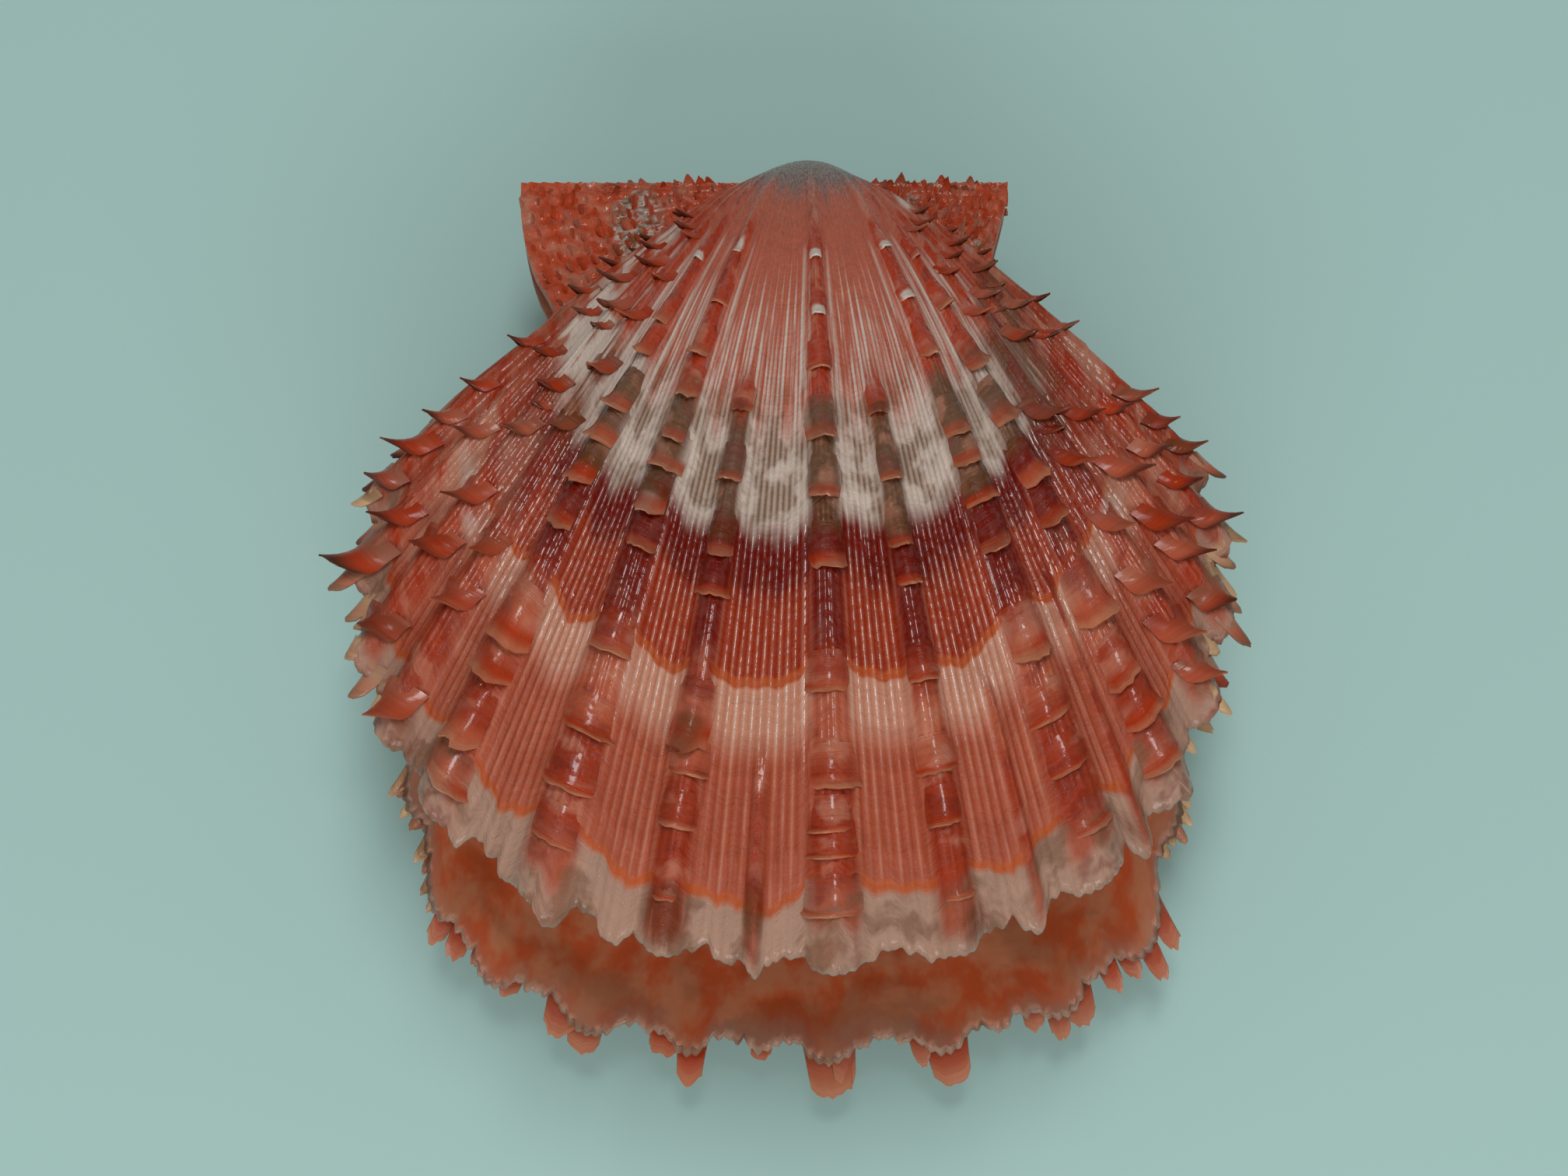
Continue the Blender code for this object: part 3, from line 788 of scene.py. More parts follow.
def standing_points(valve, scale, u, w):
    """Points of a scale that stands up from a root inside the shell and curls into a gutter.

    They come with the free share of the scale, how far they are behind its foot, and their angles.
    """
    angle, growth = np.array(scale.angle), np.array(scale.growth)
    crown = valve.outer(angle, growth)
    normal, forward = (Vector(axis) for axis in valve.axes(angle, growth))
    forward = Matrix.Rotation(scale.swing, 3, normal) @ forward
    side = np.array(forward.cross(normal))
    normal, forward = np.array(normal), np.array(forward)
    root = crown - ROOT_BACK * forward - scale.sink * normal
    tip = crown + scale.length * (math.cos(scale.lean) * normal + math.sin(scale.lean) * forward)
    reach_forward = (tip - root) @ forward
    rise = (tip - root) @ normal
    bend = root + 0.62 * reach_forward * forward + 0.10 * rise * normal
    skew, ragged = raggedness(valve, scale, u.size)
    rounding = 0.16 + 0.30 * max(scale.taper, 0.0)
    reach = (w * (1.0 - rounding * u * u + 0.5 * w * ragged))[..., None]
    spine = (1.0 - reach) ** 2 * root + 2.0 * reach * (1.0 - reach) * bend + reach**2 * tip
    heading = unit((1.0 - reach) * (bend - root) + reach * (tip - bend))
    out = np.cross(side, heading)
    out = out * np.sign(out @ normal)[..., None]
    half = scale.half_width * (1.0 + 0.25 * (1.0 - reach) ** 2 - scale.taper * reach**1.6)
    flat = min(scale.gutter, 2.0 * math.atan(ROOT_DROP / scale.half_width))
    turn = (flat + (scale.gutter - flat) * smoothstep(0.1, 0.5, reach)) * (1.0 - 0.30 * reach)
    lateral = half * np.sin(turn * u[..., None]) / np.sin(turn) + skew * scale.half_width * reach**2
    drop = half * (1.0 - np.cos(turn * u[..., None])) / np.sin(turn)
    whole = 0.0 * (w + u)
    return spine + lateral * side - drop * out, w + whole, whole, whole + scale.angle


def peeling_points(valve, scale, u, w):
    """The same for a scale that starts as the skin of its rib and peels off it forwards."""
    width = valve.width_degrees(scale)
    held = np.minimum(w / PEEL_START, 1.0)
    free = np.maximum((w - PEEL_START) / (1.0 - PEEL_START), 0.0)
    behind = SCALE_FOOT * (1.0 - held)
    base = valve.outer(scale.angle + width * u, scale.growth - behind)
    normal, forward = valve.axes(np.array(scale.angle), np.array(scale.growth))
    side = np.cross(forward, normal)
    near = valve.near_scale(scale, width * u)
    swell = valve.swelling * near * bell(behind, SWELL_BACK) * min(1.0, 0.5 * scale.length)
    sunk = 0.20 * (1.0 - held) + 0.16 * u**4 - 0.02
    base = base + (swell - sunk)[..., None] * normal
    skew, ragged = raggedness(valve, scale, u.size)
    rounding = 0.25 + 0.25 * max(scale.taper, 0.0)
    reach = free * (1.0 - rounding * np.abs(u) ** 3 + free * ragged)
    ahead = scale.length * (2.0 * PEEL_BELLY * reach * (1.0 - reach) + math.sin(scale.lean) * reach**2)
    above = scale.length * math.cos(scale.lean) * reach**2
    curl = 0.30 * scale.half_width * free**2 * np.abs(u) ** 3
    lateral = scale.half_width * (skew * reach**2 - scale.taper * u * reach**1.6)
    points = base + ahead[..., None] * forward + (above - curl)[..., None] * normal
    points = points + lateral[..., None] * side
    whole = 0.0 * (w + u)
    return points, free + whole, behind + whole, scale.angle + width * u + whole


def shape_scale(mesh, layers, valve, scale):
    """One scale as a curved sheet, with its tone strongest in the middle of its free part."""
    points_of = peeling_points if scale.peels else standing_points
    points, rise, behind, angles = points_of(valve, scale, *scale_grid(scale))
    growths = scale.growth - behind
    aside = np.abs(angles - scale.angle)
    aside = aside / max(float(aside.max()), 0.001)
    tone = scale.tone * (1.0 - 0.85 * aside**2)
    if scale.peels:
        tone = tone * (0.2 + 0.8 * smoothstep(0.0, 0.3, rise))
    share = rise if scale.peels else np.ones(rise.shape)
    stage = float(valve.stage(np.array(scale.angle), np.array(scale.growth)))
    values = {
        "stage": stage - behind + 0.02 * rise,
        "angle": angles,
        "crest": share + (1.0 - share) * valve.crest(angles, growths),
        "border": (1.0 - share) * valve.border(angles, growths),
        "riblet": 0.5 * share + (1.0 - share) * valve.riblet(angles, growths),
        "flank": 0.0 * rise + valve.flank(scale.angle),
        "rise": rise,
        "tone": tone,
        "inside": 0.0 * rise,
    }
    lay_grid(mesh, layers, points, values)


def shape_scales(mesh, valve):
    """All the scales of a valve, each with a second face under its first, and thinner towards its tip."""
    layers = pattern_layers(mesh)
    for scale in valve.scales:
        shape_scale(mesh, layers, valve, scale)
    bmesh.ops.recalc_face_normals(mesh, faces=mesh.faces)
    mesh.normal_update()
    inward = mesh.verts.layers.float_vector.new("inward")
    for vert in mesh.verts:
        vert[inward] = -valve.scale_wall * (1.5 - 0.8 * vert[layers["rise"]]) * vert.normal
    made = bmesh.ops.extrude_face_region(mesh, geom=mesh.faces[:], use_keep_orig=True)
    for element in made["geom"]:
        if isinstance(element, bmesh.types.BMVert):
            element.co += element[inward]
    mesh.verts.layers.float_vector.remove(inward)


def pose(gape_degrees):
    """Turn about the hinge line, then onto the belly scales, then to the place of the hinge."""
    opened = Matrix.Rotation(math.radians(-gape_degrees), 4, "X")
    pitched = Matrix.Rotation(math.radians(PITCH_DEGREES), 4, "X")
    rolled = Matrix.Rotation(math.radians(ROLL_DEGREES), 4, "Y")
    return Matrix.Scale(MM, 4) @ Matrix.Translation(HINGE) @ rolled @ pitched @ opened


def place_valve(mesh, side, gape_degrees):
    """Moves a valve from its own frame to its place. side is 1 for the upper one and -1 for the lower."""
    rise = 0.5 * (HINGE_GAP + EAR_WALL)
    bmesh.ops.translate(mesh, vec=Vector((0.0, 0.0, rise)), verts=mesh.verts)
    bmesh.ops.scale(mesh, vec=Vector((1.0, 1.0, side)), verts=mesh.verts)
    bmesh.ops.transform(mesh, matrix=pose(gape_degrees), verts=mesh.verts)
    bmesh.ops.recalc_face_normals(mesh, faces=mesh.faces)


def add_piece(name, mesh, materials, node):
    """Makes a finished piece of a mesh, gives it its materials and fixes it to the frame."""
    data = bpy.data.meshes.new(name)
    mesh.to_mesh(data)
    mesh.free()
    data.shade_smooth()
    data.set_sharp_from_angle(angle=math.radians(70.0))
    piece = bpy.data.objects.new(name, data)
    bpy.context.scene.collection.objects.link(piece)
    for material in materials:
        data.materials.append(material)
    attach(piece, "root")
    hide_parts(node)


def shade(name):
    """One of the shell's colours, with alpha."""
    return (*getattr(bpy.context.scene.scallop_colours, name), 1.0)


class NodeBench:
    """Adds nodes to a tree. An input is a value, the name of a colour or the output of another node."""

    def __init__(self, tree):
        self.tree = tree

    def put(self, socket, value):
        """Links an output to a socket, or sets the socket's own value."""
        if isinstance(value, Number):
            value = value.socket
        if isinstance(value, bpy.types.NodeSocket):
            self.tree.links.new(value, socket)
        else:
            socket.default_value = shade(value) if isinstance(value, str) else value

    def add(self, kind, inputs=None, **settings):
        """A node of a kind, with its settings and inputs."""
        node = self.tree.nodes.new(kind)
        for name, value in settings.items():
            setattr(node, name, value)
        for socket, value in (inputs or {}).items():
            self.put(node.inputs[socket], value)
        return node

    def layer(self, name):
        """A point layer of the mesh, as a number."""
        return Number(self, self.add("ShaderNodeAttribute", attribute_name=name).outputs["Fac"])

    def blend(self, share, first, second):
        """A colour between two colours."""
        node = self.add("ShaderNodeMix", data_type="RGBA")
        self.put(node.inputs["Factor"], share)
        self.put(node.inputs[6], first)
        self.put(node.inputs[7], second)
        return node.outputs[2]

    def noise(self, vector, scale=1.0):
        """Smooth noise from 0 to 1."""
        inputs = {"Vector": vector, "Scale": scale, "Detail": NOISE_DETAIL, "Roughness": NOISE_ROUGHNESS}
        return Number(self, self.add("ShaderNodeTexNoise", inputs).outputs["Fac"])

    def plane_noise(self, x, y):
        """Noise over two numbers."""
        return self.noise(self.add("ShaderNodeCombineXYZ", {0: x, 1: y}).outputs[0])

    def bump(self, height, strength, distance):
        """A normal that follows a height."""
        inputs = {"Height": height, "Strength": strength, "Distance": distance}
        return self.add("ShaderNodeBump", inputs).outputs["Normal"]


class Number:
    """A number in a node tree, to write formulas with: each operation adds a node."""

    def __init__(self, bench, socket):
        self.bench = bench
        self.socket = socket

    def math(self, operation, first, second, clamp=False):
        """Arithmetic on two numbers."""
        inputs = {0: first, 1: second}
        node = self.bench.add("ShaderNodeMath", inputs, operation=operation, use_clamp=clamp)
        return Number(self.bench, node.outputs["Value"])

    def __add__(self, other):
        return self.math("ADD", self, other)

    def __radd__(self, other):
        return self.math("ADD", other, self)

    def __sub__(self, other):
        return self.math("SUBTRACT", self, other)

    def __rsub__(self, other):
        return self.math("SUBTRACT", other, self)

    def __mul__(self, other):
        return self.math("MULTIPLY", self, other)

    def __pow__(self, other):
        return self.math("POWER", self, other)

    def at_most_one(self):
        """The number, kept between 0 and 1."""
        return self.math("ADD", self, 0.0, clamp=True)

    def or_more(self, other):
        """The greater of two numbers."""
        return self.math("MAXIMUM", self, other)

    def step(self, low, high):
        """Eases from 0 to 1 as the number goes from low to high."""
        inputs = {"Value": self, "From Min": low, "From Max": high}
        node = self.bench.add("ShaderNodeMapRange", inputs, interpolation_type="SMOOTHSTEP")
        return Number(self.bench, node.outputs["Result"])


def new_group(name, inputs, outputs):
    """An empty shader node group with named inputs and outputs, and a bench to fill it."""
    group = bpy.data.node_groups.new(name, "ShaderNodeTree")
    for label in inputs:
        group.interface.new_socket(label, in_out="INPUT", socket_type="NodeSocketFloat")
    for label in outputs:
        kind = "NodeSocketColor" if label == "Color" else "NodeSocketFloat"
        group.interface.new_socket(label, in_out="OUTPUT", socket_type=kind)
    bench = NodeBench(group)
    return group, bench, bench.add("NodeGroupInput"), bench.add("NodeGroupOutput")


def linear(colour):
    """A display colour from 0 to 255 as a linear colour."""
    shares = [value / 255.0 for value in colour]
    return tuple(s / 12.92 if s <= 0.04045 else ((s + 0.055) / 1.055) ** 2.4 for s in shares)


def bands_group(name, bands):
    """A group that turns the stage of growth into a band colour, from the beak on."""
    group, bench, source, result = new_group(name, ["Stage"], ["Color"])
    stage = Number(bench, source.outputs["Stage"])
    colour = "beak"
    for start, full, key in bands:
        colour = bench.blend(stage.step(start, full), colour, key)
    bench.put(result.inputs["Color"], colour)
    return group


class ShellPattern:
    """The group that paints the outside of a valve from its pattern layers."""

    def __init__(self):
        outputs = ["Color", "Roughness", "Height", "Glaze"]
        self.group, self.bench, source, result = new_group("Shell pattern", PATTERN_LABELS, outputs)
        for label in PATTERN_LABELS:
            setattr(self, label.lower(), Number(self.bench, source.outputs[label]))
        self.streaks = self.noise(1.1, 9.0)
        self.patches = self.noise(0.16, 9.0)
        self.clouds = self.noise(0.30, 24.0)
        self.rings = self.noise(0.03, 75.0)
        self.grain = self.noise(3.0, 190.0)
        cloudy = self.streaks.step(0.30, 0.55).or_more(self.rise.step(0.0, 0.2))
        self.light = (self.tone * cloudy).step(0.12, 0.60)
        # Dark marks: real brown marks, and the painted shade in front of each scale.
        self.dark = (self.tone * cloudy * -1.0).step(0.12, 0.75)
        self.marked = self.light + self.dark * 0.7
        self.on_ear = self.flank.step(1.2, 1.8)
        colour = self.ribbed(self.bands())
        colour = self.spotted(colour)
        colour = self.scaly(colour)
        colour = self.eared(colour)
        value = 0.65 + (self.streaks * 0.40 + self.rings * 0.30)
        tint = self.bench.add("ShaderNodeHueSaturation", {"Value": value, "Color": colour})
        made = {"Color": tint.outputs["Color"], "Roughness": self.roughness(), "Glaze": self.glaze()}
        made["Height"] = self.noise(0.05, 240.0) + (self.grain + self.rings)
        for label, output in made.items():
            self.bench.put(result.inputs[label], output)

    def noise(self, per_degree, per_growth):
        """Noise over the shell, in cells of a width in degrees and a height in growth."""
        return self.bench.plane_noise(self.angle * per_degree, self.stage * per_growth)

    def bands(self):
        """Colours between the ribs, with pale riblets, and colours on the ribs."""
        bench, stage, patches = self.bench, self.stage, self.patches
        loose = (1.0 - stage.step(0.62, 0.72)) * 0.05
        moved = stage + ((self.streaks - 0.5) * loose + (patches - 0.5) * loose)
        moved = moved + (patches - 0.5) * (stage.step(0.86, 0.92) * 0.035)
        found = []
        for name, table in (("Groove", GROOVE_BANDS), ("Line", LINE_BANDS), ("Rib", RIB_BANDS)):
            node = bench.add("ShaderNodeGroup", node_tree=bands_group(f"{name} bands", table))
            bench.put(node.inputs["Stage"], moved)
            found.append(node.outputs["Color"])
        grooves, lines, ribs = found
        broad = stage.step(0.27, 0.38) - stage.step(0.54, 0.62)
        line = (self.riblet ** (3.0 - broad * 1.8) * (1.0 + broad * 0.9)).at_most_one()
        broken = self.streaks.step(0.36, 0.60).or_more(stage.step(0.58, 0.64) * 0.25)
        broken = (broken * (0.35 + self.noise(1.54, 3.0).step(0.32, 0.55))).at_most_one()
        self.line = line * (broken * (1.0 - stage.step(0.58, 0.62) * 0.45))
        return bench.blend(self.line, grooves, lines), ribs

    def ribbed(self, colours):
        """Adds the soiled white band, the pale feet of the ribs, the ribs and the flanks."""
        colour, rib_colour = colours
        bench, stage, clouds, patches = self.bench, self.stage, self.clouds, self.patches
        soiled = stage.step(0.40, 0.50) * clouds.step(0.42, 0.60) * (1.0 - stage.step(0.58, 0.61))
        colour = bench.blend(soiled * (0.9 - self.riblet * 0.5), colour, "tan")
        pale = (stage.step(0.24, 0.28) - stage.step(0.50, 0.60)) * self.streaks.step(0.36, 0.56)
        colour = bench.blend(self.border * pale * 0.65, colour, "white")
        glossy = stage.step(0.58, 0.63) - stage.step(0.70, 0.78)
        worn = clouds.step(0.52, 0.64) * (0.45 - glossy * 0.40)
        rib_colour = bench.blend(worn, rib_colour, "blush")
        stained = 1.0 - clouds.step(0.36, 0.46)
        rib_colour = bench.blend(stained * 0.5, rib_colour, "maroon")
        colour = bench.blend(self.crest * 0.92, colour, rib_colour)
        flank_colour = bench.blend(clouds.step(0.42, 0.62), "orange", "salmon")
        flank_colour = bench.blend(patches.step(0.48, 0.66), flank_colour, "blush")
        flank_colour = bench.blend(self.line * 0.5, flank_colour, "blush")
        inland = 1.0 - stage.step(0.94, 0.97) * 0.8
        open_flank = (self.flank * patches.step(0.22, 0.42)).at_most_one() * inland
        return bench.blend(open_flank * 0.85, colour, flank_colour)

    def spotted(self, colour):
        """Adds the white and the brown marks, the painted shade in front of the scales, and the stains of
        the lip.
        """
        bench, stage, clouds = self.bench, self.stage, self.clouds
        pale = bench.blend(stage.step(0.88, 0.94), "white", "cream")
        pale = bench.blend(self.on_ear * clouds.step(0.34, 0.66), pale, "tan")
        colour = bench.blend(self.light, colour, pale)
        # The dark marks and the painted shade in front of the scales turn brown.
        brown = bench.blend(clouds.step(0.40, 0.60), "olive", "maroon")
        colour = bench.blend(self.dark * 0.75, colour, brown)
        lip_stain = stage.step(0.955, 0.97) * clouds.step(0.48, 0.62)
        return bench.blend(lip_stain * 0.55, colour, "olive")

    def scaly(self, colour):
        """Adds the free parts of the scales, paler or darker towards their edge."""
        bench, flank = self.bench, self.flank
        scale_colour = bench.blend(self.patches.step(0.42, 0.60), "orange", "salmon")
        young = (0.75 - self.stage.step(0.56, 0.62) * 0.75) * (1.0 - flank.step(0.1, 0.4))
        scale_colour = bench.blend(young, scale_colour, "coral")
        trim = (0.15 + flank.step(0.2, 0.8) * 0.75) + self.streaks * 0.3
        edge_colour = bench.blend(flank.step(0.05, 0.4), "cream", "umber")
        scale_colour = bench.blend(self.rise.step(0.55, 1.0) * trim, scale_colour, edge_colour)
        natural = (self.rise.step(0.10, 0.60) * (0.9 - self.marked)).at_most_one()
        return bench.blend(natural, colour, scale_colour)

    def eared(self, colour):
        """Adds the bright knobs of the ears."""
        bench = self.bench
        knobs = bench.plane_noise(self.angle * 0.21 + self.stage * 11.0, self.stage * 15.0)
        ear_colour = bench.blend(knobs.step(0.40, 0.75), "ear", "blush")
        ear_colour = bench.blend((1.0 - knobs.step(0.30, 0.48)) * 0.5, ear_colour, "red")
        plain = (self.on_ear * (0.8 - self.marked)).at_most_one()
        return bench.blend(plain, colour, ear_colour)

    def roughness(self):
        """Smoother on the riblets and ribs, and in small spots."""
        rough = 0.44 + self.riblet * -0.08
        return rough - self.grain.step(0.46, 0.60) * 0.24 - self.crest * 0.04

    def glaze(self):
        """Small wet spots, fewer on the flanks, on the grown shell and on the scales."""
        central = 1.0 - self.flank.step(0.0, 0.8) * 0.55
        central = central * (1.0 - self.stage.step(0.74, 0.82) * 0.45)
        central = central * (1.0 - self.rise.step(0.0, 0.2) * 0.5)
        return self.noise(1.6, 130.0).step(0.44, 0.56) * central


def shader_of(material):
    """A bench on a material's tree, and its Principled shader."""
    material.use_nodes = True
    return NodeBench(material.node_tree), material.node_tree.nodes["Principled BSDF"]


def outside_material(name, group):
    """The painted, satin outside of a valve."""
    material = bpy.data.materials.new(name)
    bench, shader = shader_of(material)
    layers = {label: bench.layer(label.lower()) for label in PATTERN_LABELS}
    node = bench.add("ShaderNodeGroup", node_tree=group)
    for label, layer in layers.items():
        bench.put(node.inputs[label], layer)
    bench.put(shader.inputs["Base Color"], node.outputs["Color"])
    bench.put(shader.inputs["Roughness"], node.outputs["Roughness"])
    bench.put(shader.inputs["Normal"], bench.bump(node.outputs["Height"], 0.7, 0.00009))
    shader.inputs["Specular IOR Level"].default_value = 0.15
    bench.put(shader.inputs["Coat Weight"], node.outputs["Glaze"])
    shader.inputs["Coat Roughness"].default_value = 0.11
    return material


def inside_material():
    """The smooth mottled inside of a valve, pale at its lip."""
    material = bpy.data.materials.new("shell_inside")
    bench, shader = shader_of(material)
    stage = bench.layer("stage")
    angle = bench.layer("angle")
    broad = bench.plane_noise(angle * 0.14, stage * 16.0)
    fine = bench.plane_noise(angle * 0.40, stage * 20.0)
    colour = bench.blend(fine.step(0.36, 0.62), "inner_brown", "inner_pink")
    colour = bench.blend(broad.step(0.46, 0.62) * 0.30, colour, "olive")
    colour = bench.blend((stage + broad * 0.06).step(1.0, 1.05), colour, "lip")
    bench.put(shader.inputs["Base Color"], colour)
    bench.put(shader.inputs["Roughness"], 0.42 + fine * 0.12)
    bench.put(shader.inputs["Normal"], bench.bump(fine, 0.5, 0.0002))
    return material


def ligament_material():
    """Dark rubbery pad with fine layers."""
    material = bpy.data.materials.new("ligament_pad")
    bench, shader = shader_of(material)
    place = bench.add("ShaderNodeTexCoord").outputs["Object"]
    stretched = bench.add("ShaderNodeMapping", {"Vector": place, "Scale": (1.0, 6.0, 1.0)}).outputs[0]
    layers = bench.noise(stretched, 900.0)
    colour = bench.blend(layers, (0.030, 0.014, 0.008, 1.0), (0.10, 0.05, 0.03, 1.0))
    bench.put(shader.inputs["Base Color"], colour)
    bench.put(shader.inputs["Roughness"], 0.40 + layers * 0.2)
    bench.put(shader.inputs["Normal"], bench.bump(layers, 0.4, 0.0001))
    return material


def upper_valve_rules():
    """The upper valve, with all its scales."""
    valve = Valve("upper", UPPER_DISC, UPPER_RIBS, UPPER_THREADS, UPPER_RINGS)
    valve.marks = UPPER_MARKS
    valve.lobes = UPPER_LOBES
    listed_scales(valve, UPPER_SCALES)
    ring_scales(valve, [rib for rib in range(len(UPPER_RIBS)) if rib not in UPPER_SCALES])
    ear_scales(valve)
    fringe_scales(valve, ((-51.0, -31.0), (31.0, 49.0)), FRINGE_PITCH, 78.0, 0.15)
    return valve


def lower_valve_rules():
    """The lower valve, with all its scales."""
    valve = Valve("lower", LOWER_DISC, LOWER_RIBS, LOWER_THREADS, LOWER_RINGS)
    ring_scales(valve, range(len(LOWER_RIBS)))
    lip_scales(valve)
    ear_scales(valve)
    fringe_scales(valve, ((-50.0, -33.5), (31.5, 48.0)), FRINGE_PITCH, 46.0, 0.35)
    fringe_scales(valve, ((-33.5, -26.0), (27.0, 31.5)), COMB_PITCH, 52.0, 0.30)
    return valve


def build_valve(valve, side, gape_degrees):
    """The shell and the scales of one valve, both standing for its solid."""
    group = bpy.data.node_groups.get("Shell pattern") or ShellPattern().group
    inside = bpy.data.materials.get("shell_inside") or inside_material()
    outside = outside_material(f"{valve.name}_outside", group)
    node = f"{valve.name}_valve"
    shell = bmesh.new()
    shape_shell(shell, valve)
    place_valve(shell, side, gape_degrees)
    add_piece(f"{node}_shell", shell, [outside, inside], node)
    scales = bmesh.new()
    shape_scales(scales, valve)
    place_valve(scales, side, gape_degrees)
    add_piece(f"{node}_scales", scales, [outside], node)


def colour_property(name, description, display):
    """A colour that a user may change, given as a display colour."""
    return bpy.props.FloatVectorProperty(
        name=name,
        description=description,
        default=linear(display),
        subtype="COLOR",
        size=3,
        min=0.0,
        max=1.0,
    )


def size_property(name, description, millimetres):
    """A length that a user may change."""
    return bpy.props.FloatProperty(
        name=name,
        description=description,
        default=millimetres * MM,
        min=0.0,
        precision=5,
        unit="LENGTH",
    )


class ScallopSizes(bpy.types.PropertyGroup):
    """Sizes of the relief."""

    rib_height: size_property("Rib height", "Height of the ribs at the margin", 0.85)
    riblet_height: size_property("Riblet height", "Height of the fine riblets at the margin", 0.12)
    swelling: size_property("Swelling", "Rise of a rib towards each of its scales", 0.07)
    scale_wall: size_property("Scale wall", "Thickness of the scales", 0.13)


class ScallopColours(bpy.types.PropertyGroup):
    """Colours of the shell."""

    beak: colour_property("Beak", "Worn tip of the shell", (134, 98, 92))
    rose: colour_property("Rose", "Young shell between the ribs", (188, 98, 74))
    coral: colour_property("Coral", "Grooves of the grown shell", (168, 80, 54))
    salmon: colour_property("Salmon", "Main colour of the grown shell", (176, 86, 58))
    red: colour_property("Red", "Glossy red band", (154, 50, 22))
    orange: colour_property("Orange", "Ribs, flanks and scales", (172, 50, 8))
    ear: colour_property("Ear", "Bright knobs of the ears", (206, 76, 36))
    amber: colour_property("Amber", "Lines where the shell stopped growing", (180, 84, 42))
    white: colour_property("White", "White band and marks", (206, 188, 174))
    tan: colour_property("Tan", "Dull patches of the white band", (118, 80, 48))
    cream: colour_property("Cream", "Spines and tongues of the margin", (208, 172, 130))
    blush: colour_property("Blush", "Pale band and pale riblets", (196, 134, 108))
    # Maroon and olive also colour the painted shade in front of the scales.
    maroon: colour_property("Maroon", "Dark band", (112, 20, 6))
    umber: colour_property("Umber", "Tips of the side scales", (74, 34, 20))
    olive: colour_property("Olive", "Brown marks on the ribs", (100, 60, 30))
    lip: colour_property("Lip", "Pale edge of the shell", (172, 134, 114))
    inner_brown: colour_property("Inner brown", "Deep blotches of the inside", (206, 92, 44))
    inner_pink: colour_property("Inner pink", "Lighter blotches of the inside", (206, 132, 92))
    floor: colour_property("Floor", "Plain floor of the stage", (176, 212, 206))


class ScallopLight(bpy.types.PropertyGroup):
    """Light of the stage."""

    sky: bpy.props.FloatProperty(
        name="Sky", description="Even light from all round", default=0.25, min=0.0
    )
    key: bpy.props.FloatProperty(
        name="Key", description="Large soft light above", default=0.14, min=0.0, unit="POWER"
    )


class SCALLOP_OT_upper_valve(bpy.types.Operator):
    """Builds the upper valve with its ribs, scales and ears"""

    bl_idname = "scallop.upper_valve"
    bl_label = "Upper Valve"

    def execute(self, context):
        build_valve(upper_valve_rules(), 1, GAPE_DEGREES)
        return {"FINISHED"}


class SCALLOP_OT_lower_valve(bpy.types.Operator):
    """Builds the lower valve with the tongues past its lip"""

    bl_idname = "scallop.lower_valve"
    bl_label = "Lower Valve"

    def execute(self, context):
        build_valve(lower_valve_rules(), -1, 0.0)
        return {"FINISHED"}


class SCALLOP_OT_ligament(bpy.types.Operator):
    """Builds the pad between the beaks"""

    bl_idname = "scallop.ligament"
    bl_label = "Ligament"

    def execute(self, context):
        mesh = bmesh.new()
        rings = []
        for front, half_width, half_height in LIGAMENT_SECTIONS:
            made = bmesh.ops.create_circle(mesh, cap_ends=False, segments=LIGAMENT_SIDES, radius=1.0)
            ring = made["verts"]
            rows = ((half_width, 0, 0, 0), (0, 0, 0, -front), (0, half_height, 0, 0), (0, 0, 0, 1))
            bmesh.ops.transform(mesh, matrix=Matrix(rows), verts=ring)
            rings.append(list({edge for vert in ring for edge in vert.link_edges}))
        for first, second in zip(rings, rings[1:]):
            bmesh.ops.bridge_loops(mesh, edges=first + second)
        for ring in (rings[0], rings[-1]):
            bmesh.ops.contextual_create(mesh, geom=ring)
        caps = [face for face in mesh.faces if len(face.verts) > 4]
        bmesh.ops.inset_individual(mesh, faces=caps, thickness=0.2, depth=0.12)
        bmesh.ops.transform(mesh, matrix=pose(0.5 * GAPE_DEGREES), verts=mesh.verts)
        bmesh.ops.recalc_face_normals(mesh, faces=mesh.faces)
        add_piece("ligament_pad", mesh, [ligament_material()], "ligament")
        return {"FINISHED"}


class SCALLOP_OT_stage(bpy.types.Operator):
    """Adds the floor, the soft lights and the camera"""

    bl_idname = "scallop.stage"
    bl_label = "Stage"

    def execute(self, context):
        add_floor()
        add_lights()
        add_camera()
        context.scene.view_settings.view_transform = "Standard"
        return {"FINISHED"}


def add_floor():
    """A wide plain floor under the shell."""
    mesh = bmesh.new()
    bmesh.ops.create_grid(mesh, x_segments=1, y_segments=1, size=2.0)
    data = bpy.data.meshes.new("floor")
    mesh.to_mesh(data)
    mesh.free()
    floor = bpy.data.objects.new("floor", data)
    bpy.context.scene.collection.objects.link(floor)
    material = bpy.data.materials.new("floor_plain")
    _, shader = shader_of(material)
    shader.inputs["Base Color"].default_value = (*bpy.context.scene.scallop_colours.floor, 1.0)
    shader.inputs["Roughness"].default_value = 0.9
    data.materials.append(material)


def add_light(name, place, size, power):
    """An area light of a width and a depth that faces the shell."""
    data = bpy.data.lights.new(name, "AREA")
    data.shape = "RECTANGLE"
    data.size, data.size_y = size
    data.energy = power
    light = bpy.data.objects.new(name, data)
    light.location = place
    light.rotation_euler = (-Vector(place)).to_track_quat("-Z", "Y").to_euler()
    bpy.context.scene.collection.objects.link(light)


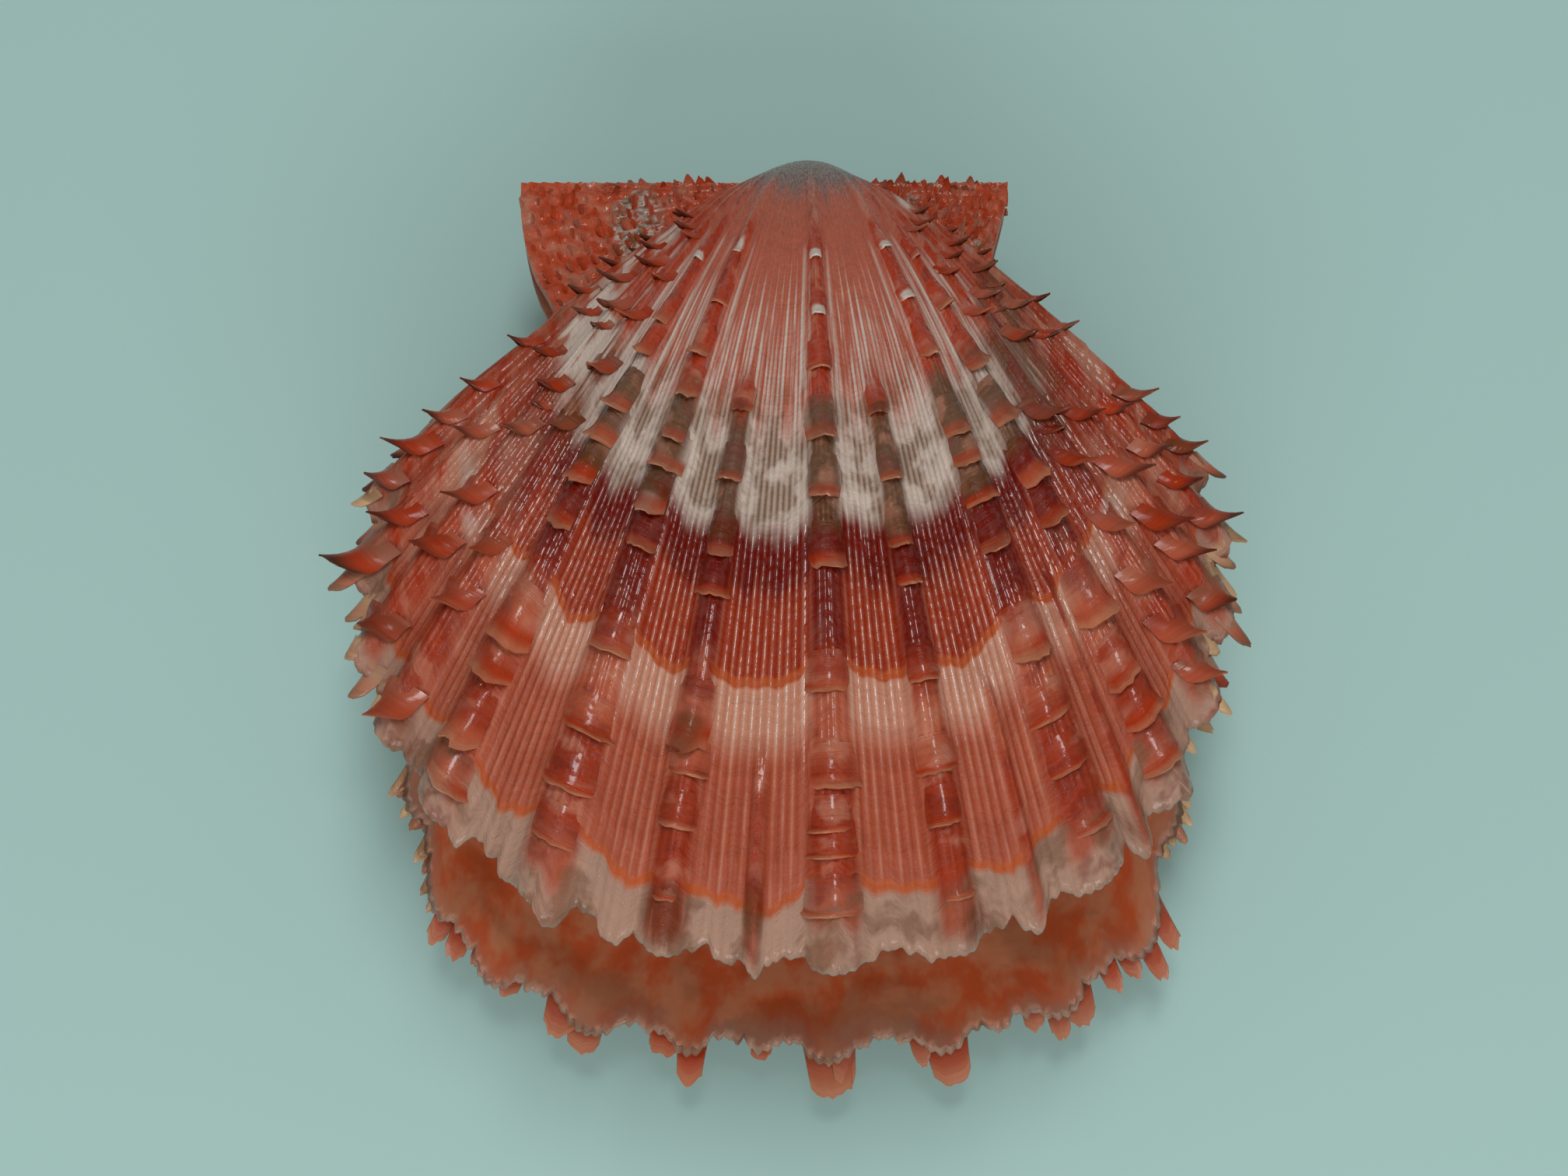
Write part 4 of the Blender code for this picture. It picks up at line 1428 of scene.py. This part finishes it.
def add_lights():
    """Even sky light, a large soft key, a fill from the front and a small light for the highlights."""
    light = bpy.context.scene.scallop_light
    world = bpy.data.worlds.new("studio")
    world.use_nodes = True
    background = world.node_tree.nodes["Background"]
    background.inputs["Color"].default_value = (1.0, 1.0, 1.0, 1.0)
    background.inputs["Strength"].default_value = light.sky
    bpy.context.scene.world = world
    add_light("key", (-0.02, -0.02, 0.42), (0.50, 0.40), 0.8 * light.key)
    add_light("fill", (0.0, -0.19, 0.15), (0.20, 0.08), 1.55 * light.key)
    add_light("sparkle", (0.01, 0.055, 0.32), (0.06, 0.12), 2.1 * light.key)


def add_camera():
    """The camera, at the photograph's angle over the pair."""
    elevation = math.radians(CAMERA_ELEVATION_DEGREES)
    tilt = Matrix.Rotation(0.5 * math.pi - elevation, 4, "X")
    data = bpy.data.cameras.new("photo_view")
    data.sensor_width = 36.0
    data.lens = 0.5 * data.sensor_width / math.tan(math.radians(0.5 * CAMERA_VIEW_DEGREES))
    data.clip_start = 0.005
    camera = bpy.data.objects.new("photo_view", data)
    turned = pose(0.0) @ Matrix.Translation(CAMERA_PLACE) @ tilt
    place, rotation, _ = turned.decompose()
    camera.location = place
    camera.rotation_euler = rotation.to_euler()
    bpy.context.scene.collection.objects.link(camera)
    bpy.context.scene.camera = camera


class SCALLOP_PT_panel(bpy.types.Panel):
    """Lists the steps, the sizes, the colours and the light"""

    bl_idname = "SCALLOP_PT_panel"
    bl_label = "Scallop"
    bl_space_type = "VIEW_3D"
    bl_region_type = "UI"
    bl_category = "Scallop"

    def draw(self, context):
        for step in STEPS:
            self.layout.operator(step.bl_idname)
        scene = context.scene
        for settings in (scene.scallop_sizes, scene.scallop_colours, scene.scallop_light):
            for name in settings.bl_rna.properties.keys():
                if name not in ("rna_type", "name"):
                    self.layout.prop(settings, name)


STEPS = (SCALLOP_OT_upper_valve, SCALLOP_OT_lower_valve, SCALLOP_OT_ligament, SCALLOP_OT_stage)
CLASSES = (ScallopSizes, ScallopColours, ScallopLight, *STEPS, SCALLOP_PT_panel)


def register():
    for cls in CLASSES:
        bpy.utils.register_class(cls)
    bpy.types.Scene.scallop_sizes = bpy.props.PointerProperty(type=ScallopSizes)
    bpy.types.Scene.scallop_colours = bpy.props.PointerProperty(type=ScallopColours)
    bpy.types.Scene.scallop_light = bpy.props.PointerProperty(type=ScallopLight)


def unregister():
    del bpy.types.Scene.scallop_light
    del bpy.types.Scene.scallop_colours
    del bpy.types.Scene.scallop_sizes
    for cls in reversed(CLASSES):
        bpy.utils.unregister_class(cls)


def main():
    """Builds everything in order."""
    register()
    bpy.ops.scallop.upper_valve()
    bpy.ops.scallop.lower_valve()
    bpy.ops.scallop.ligament()
    bpy.ops.scallop.stage()


if __name__ == "__main__":
    main()
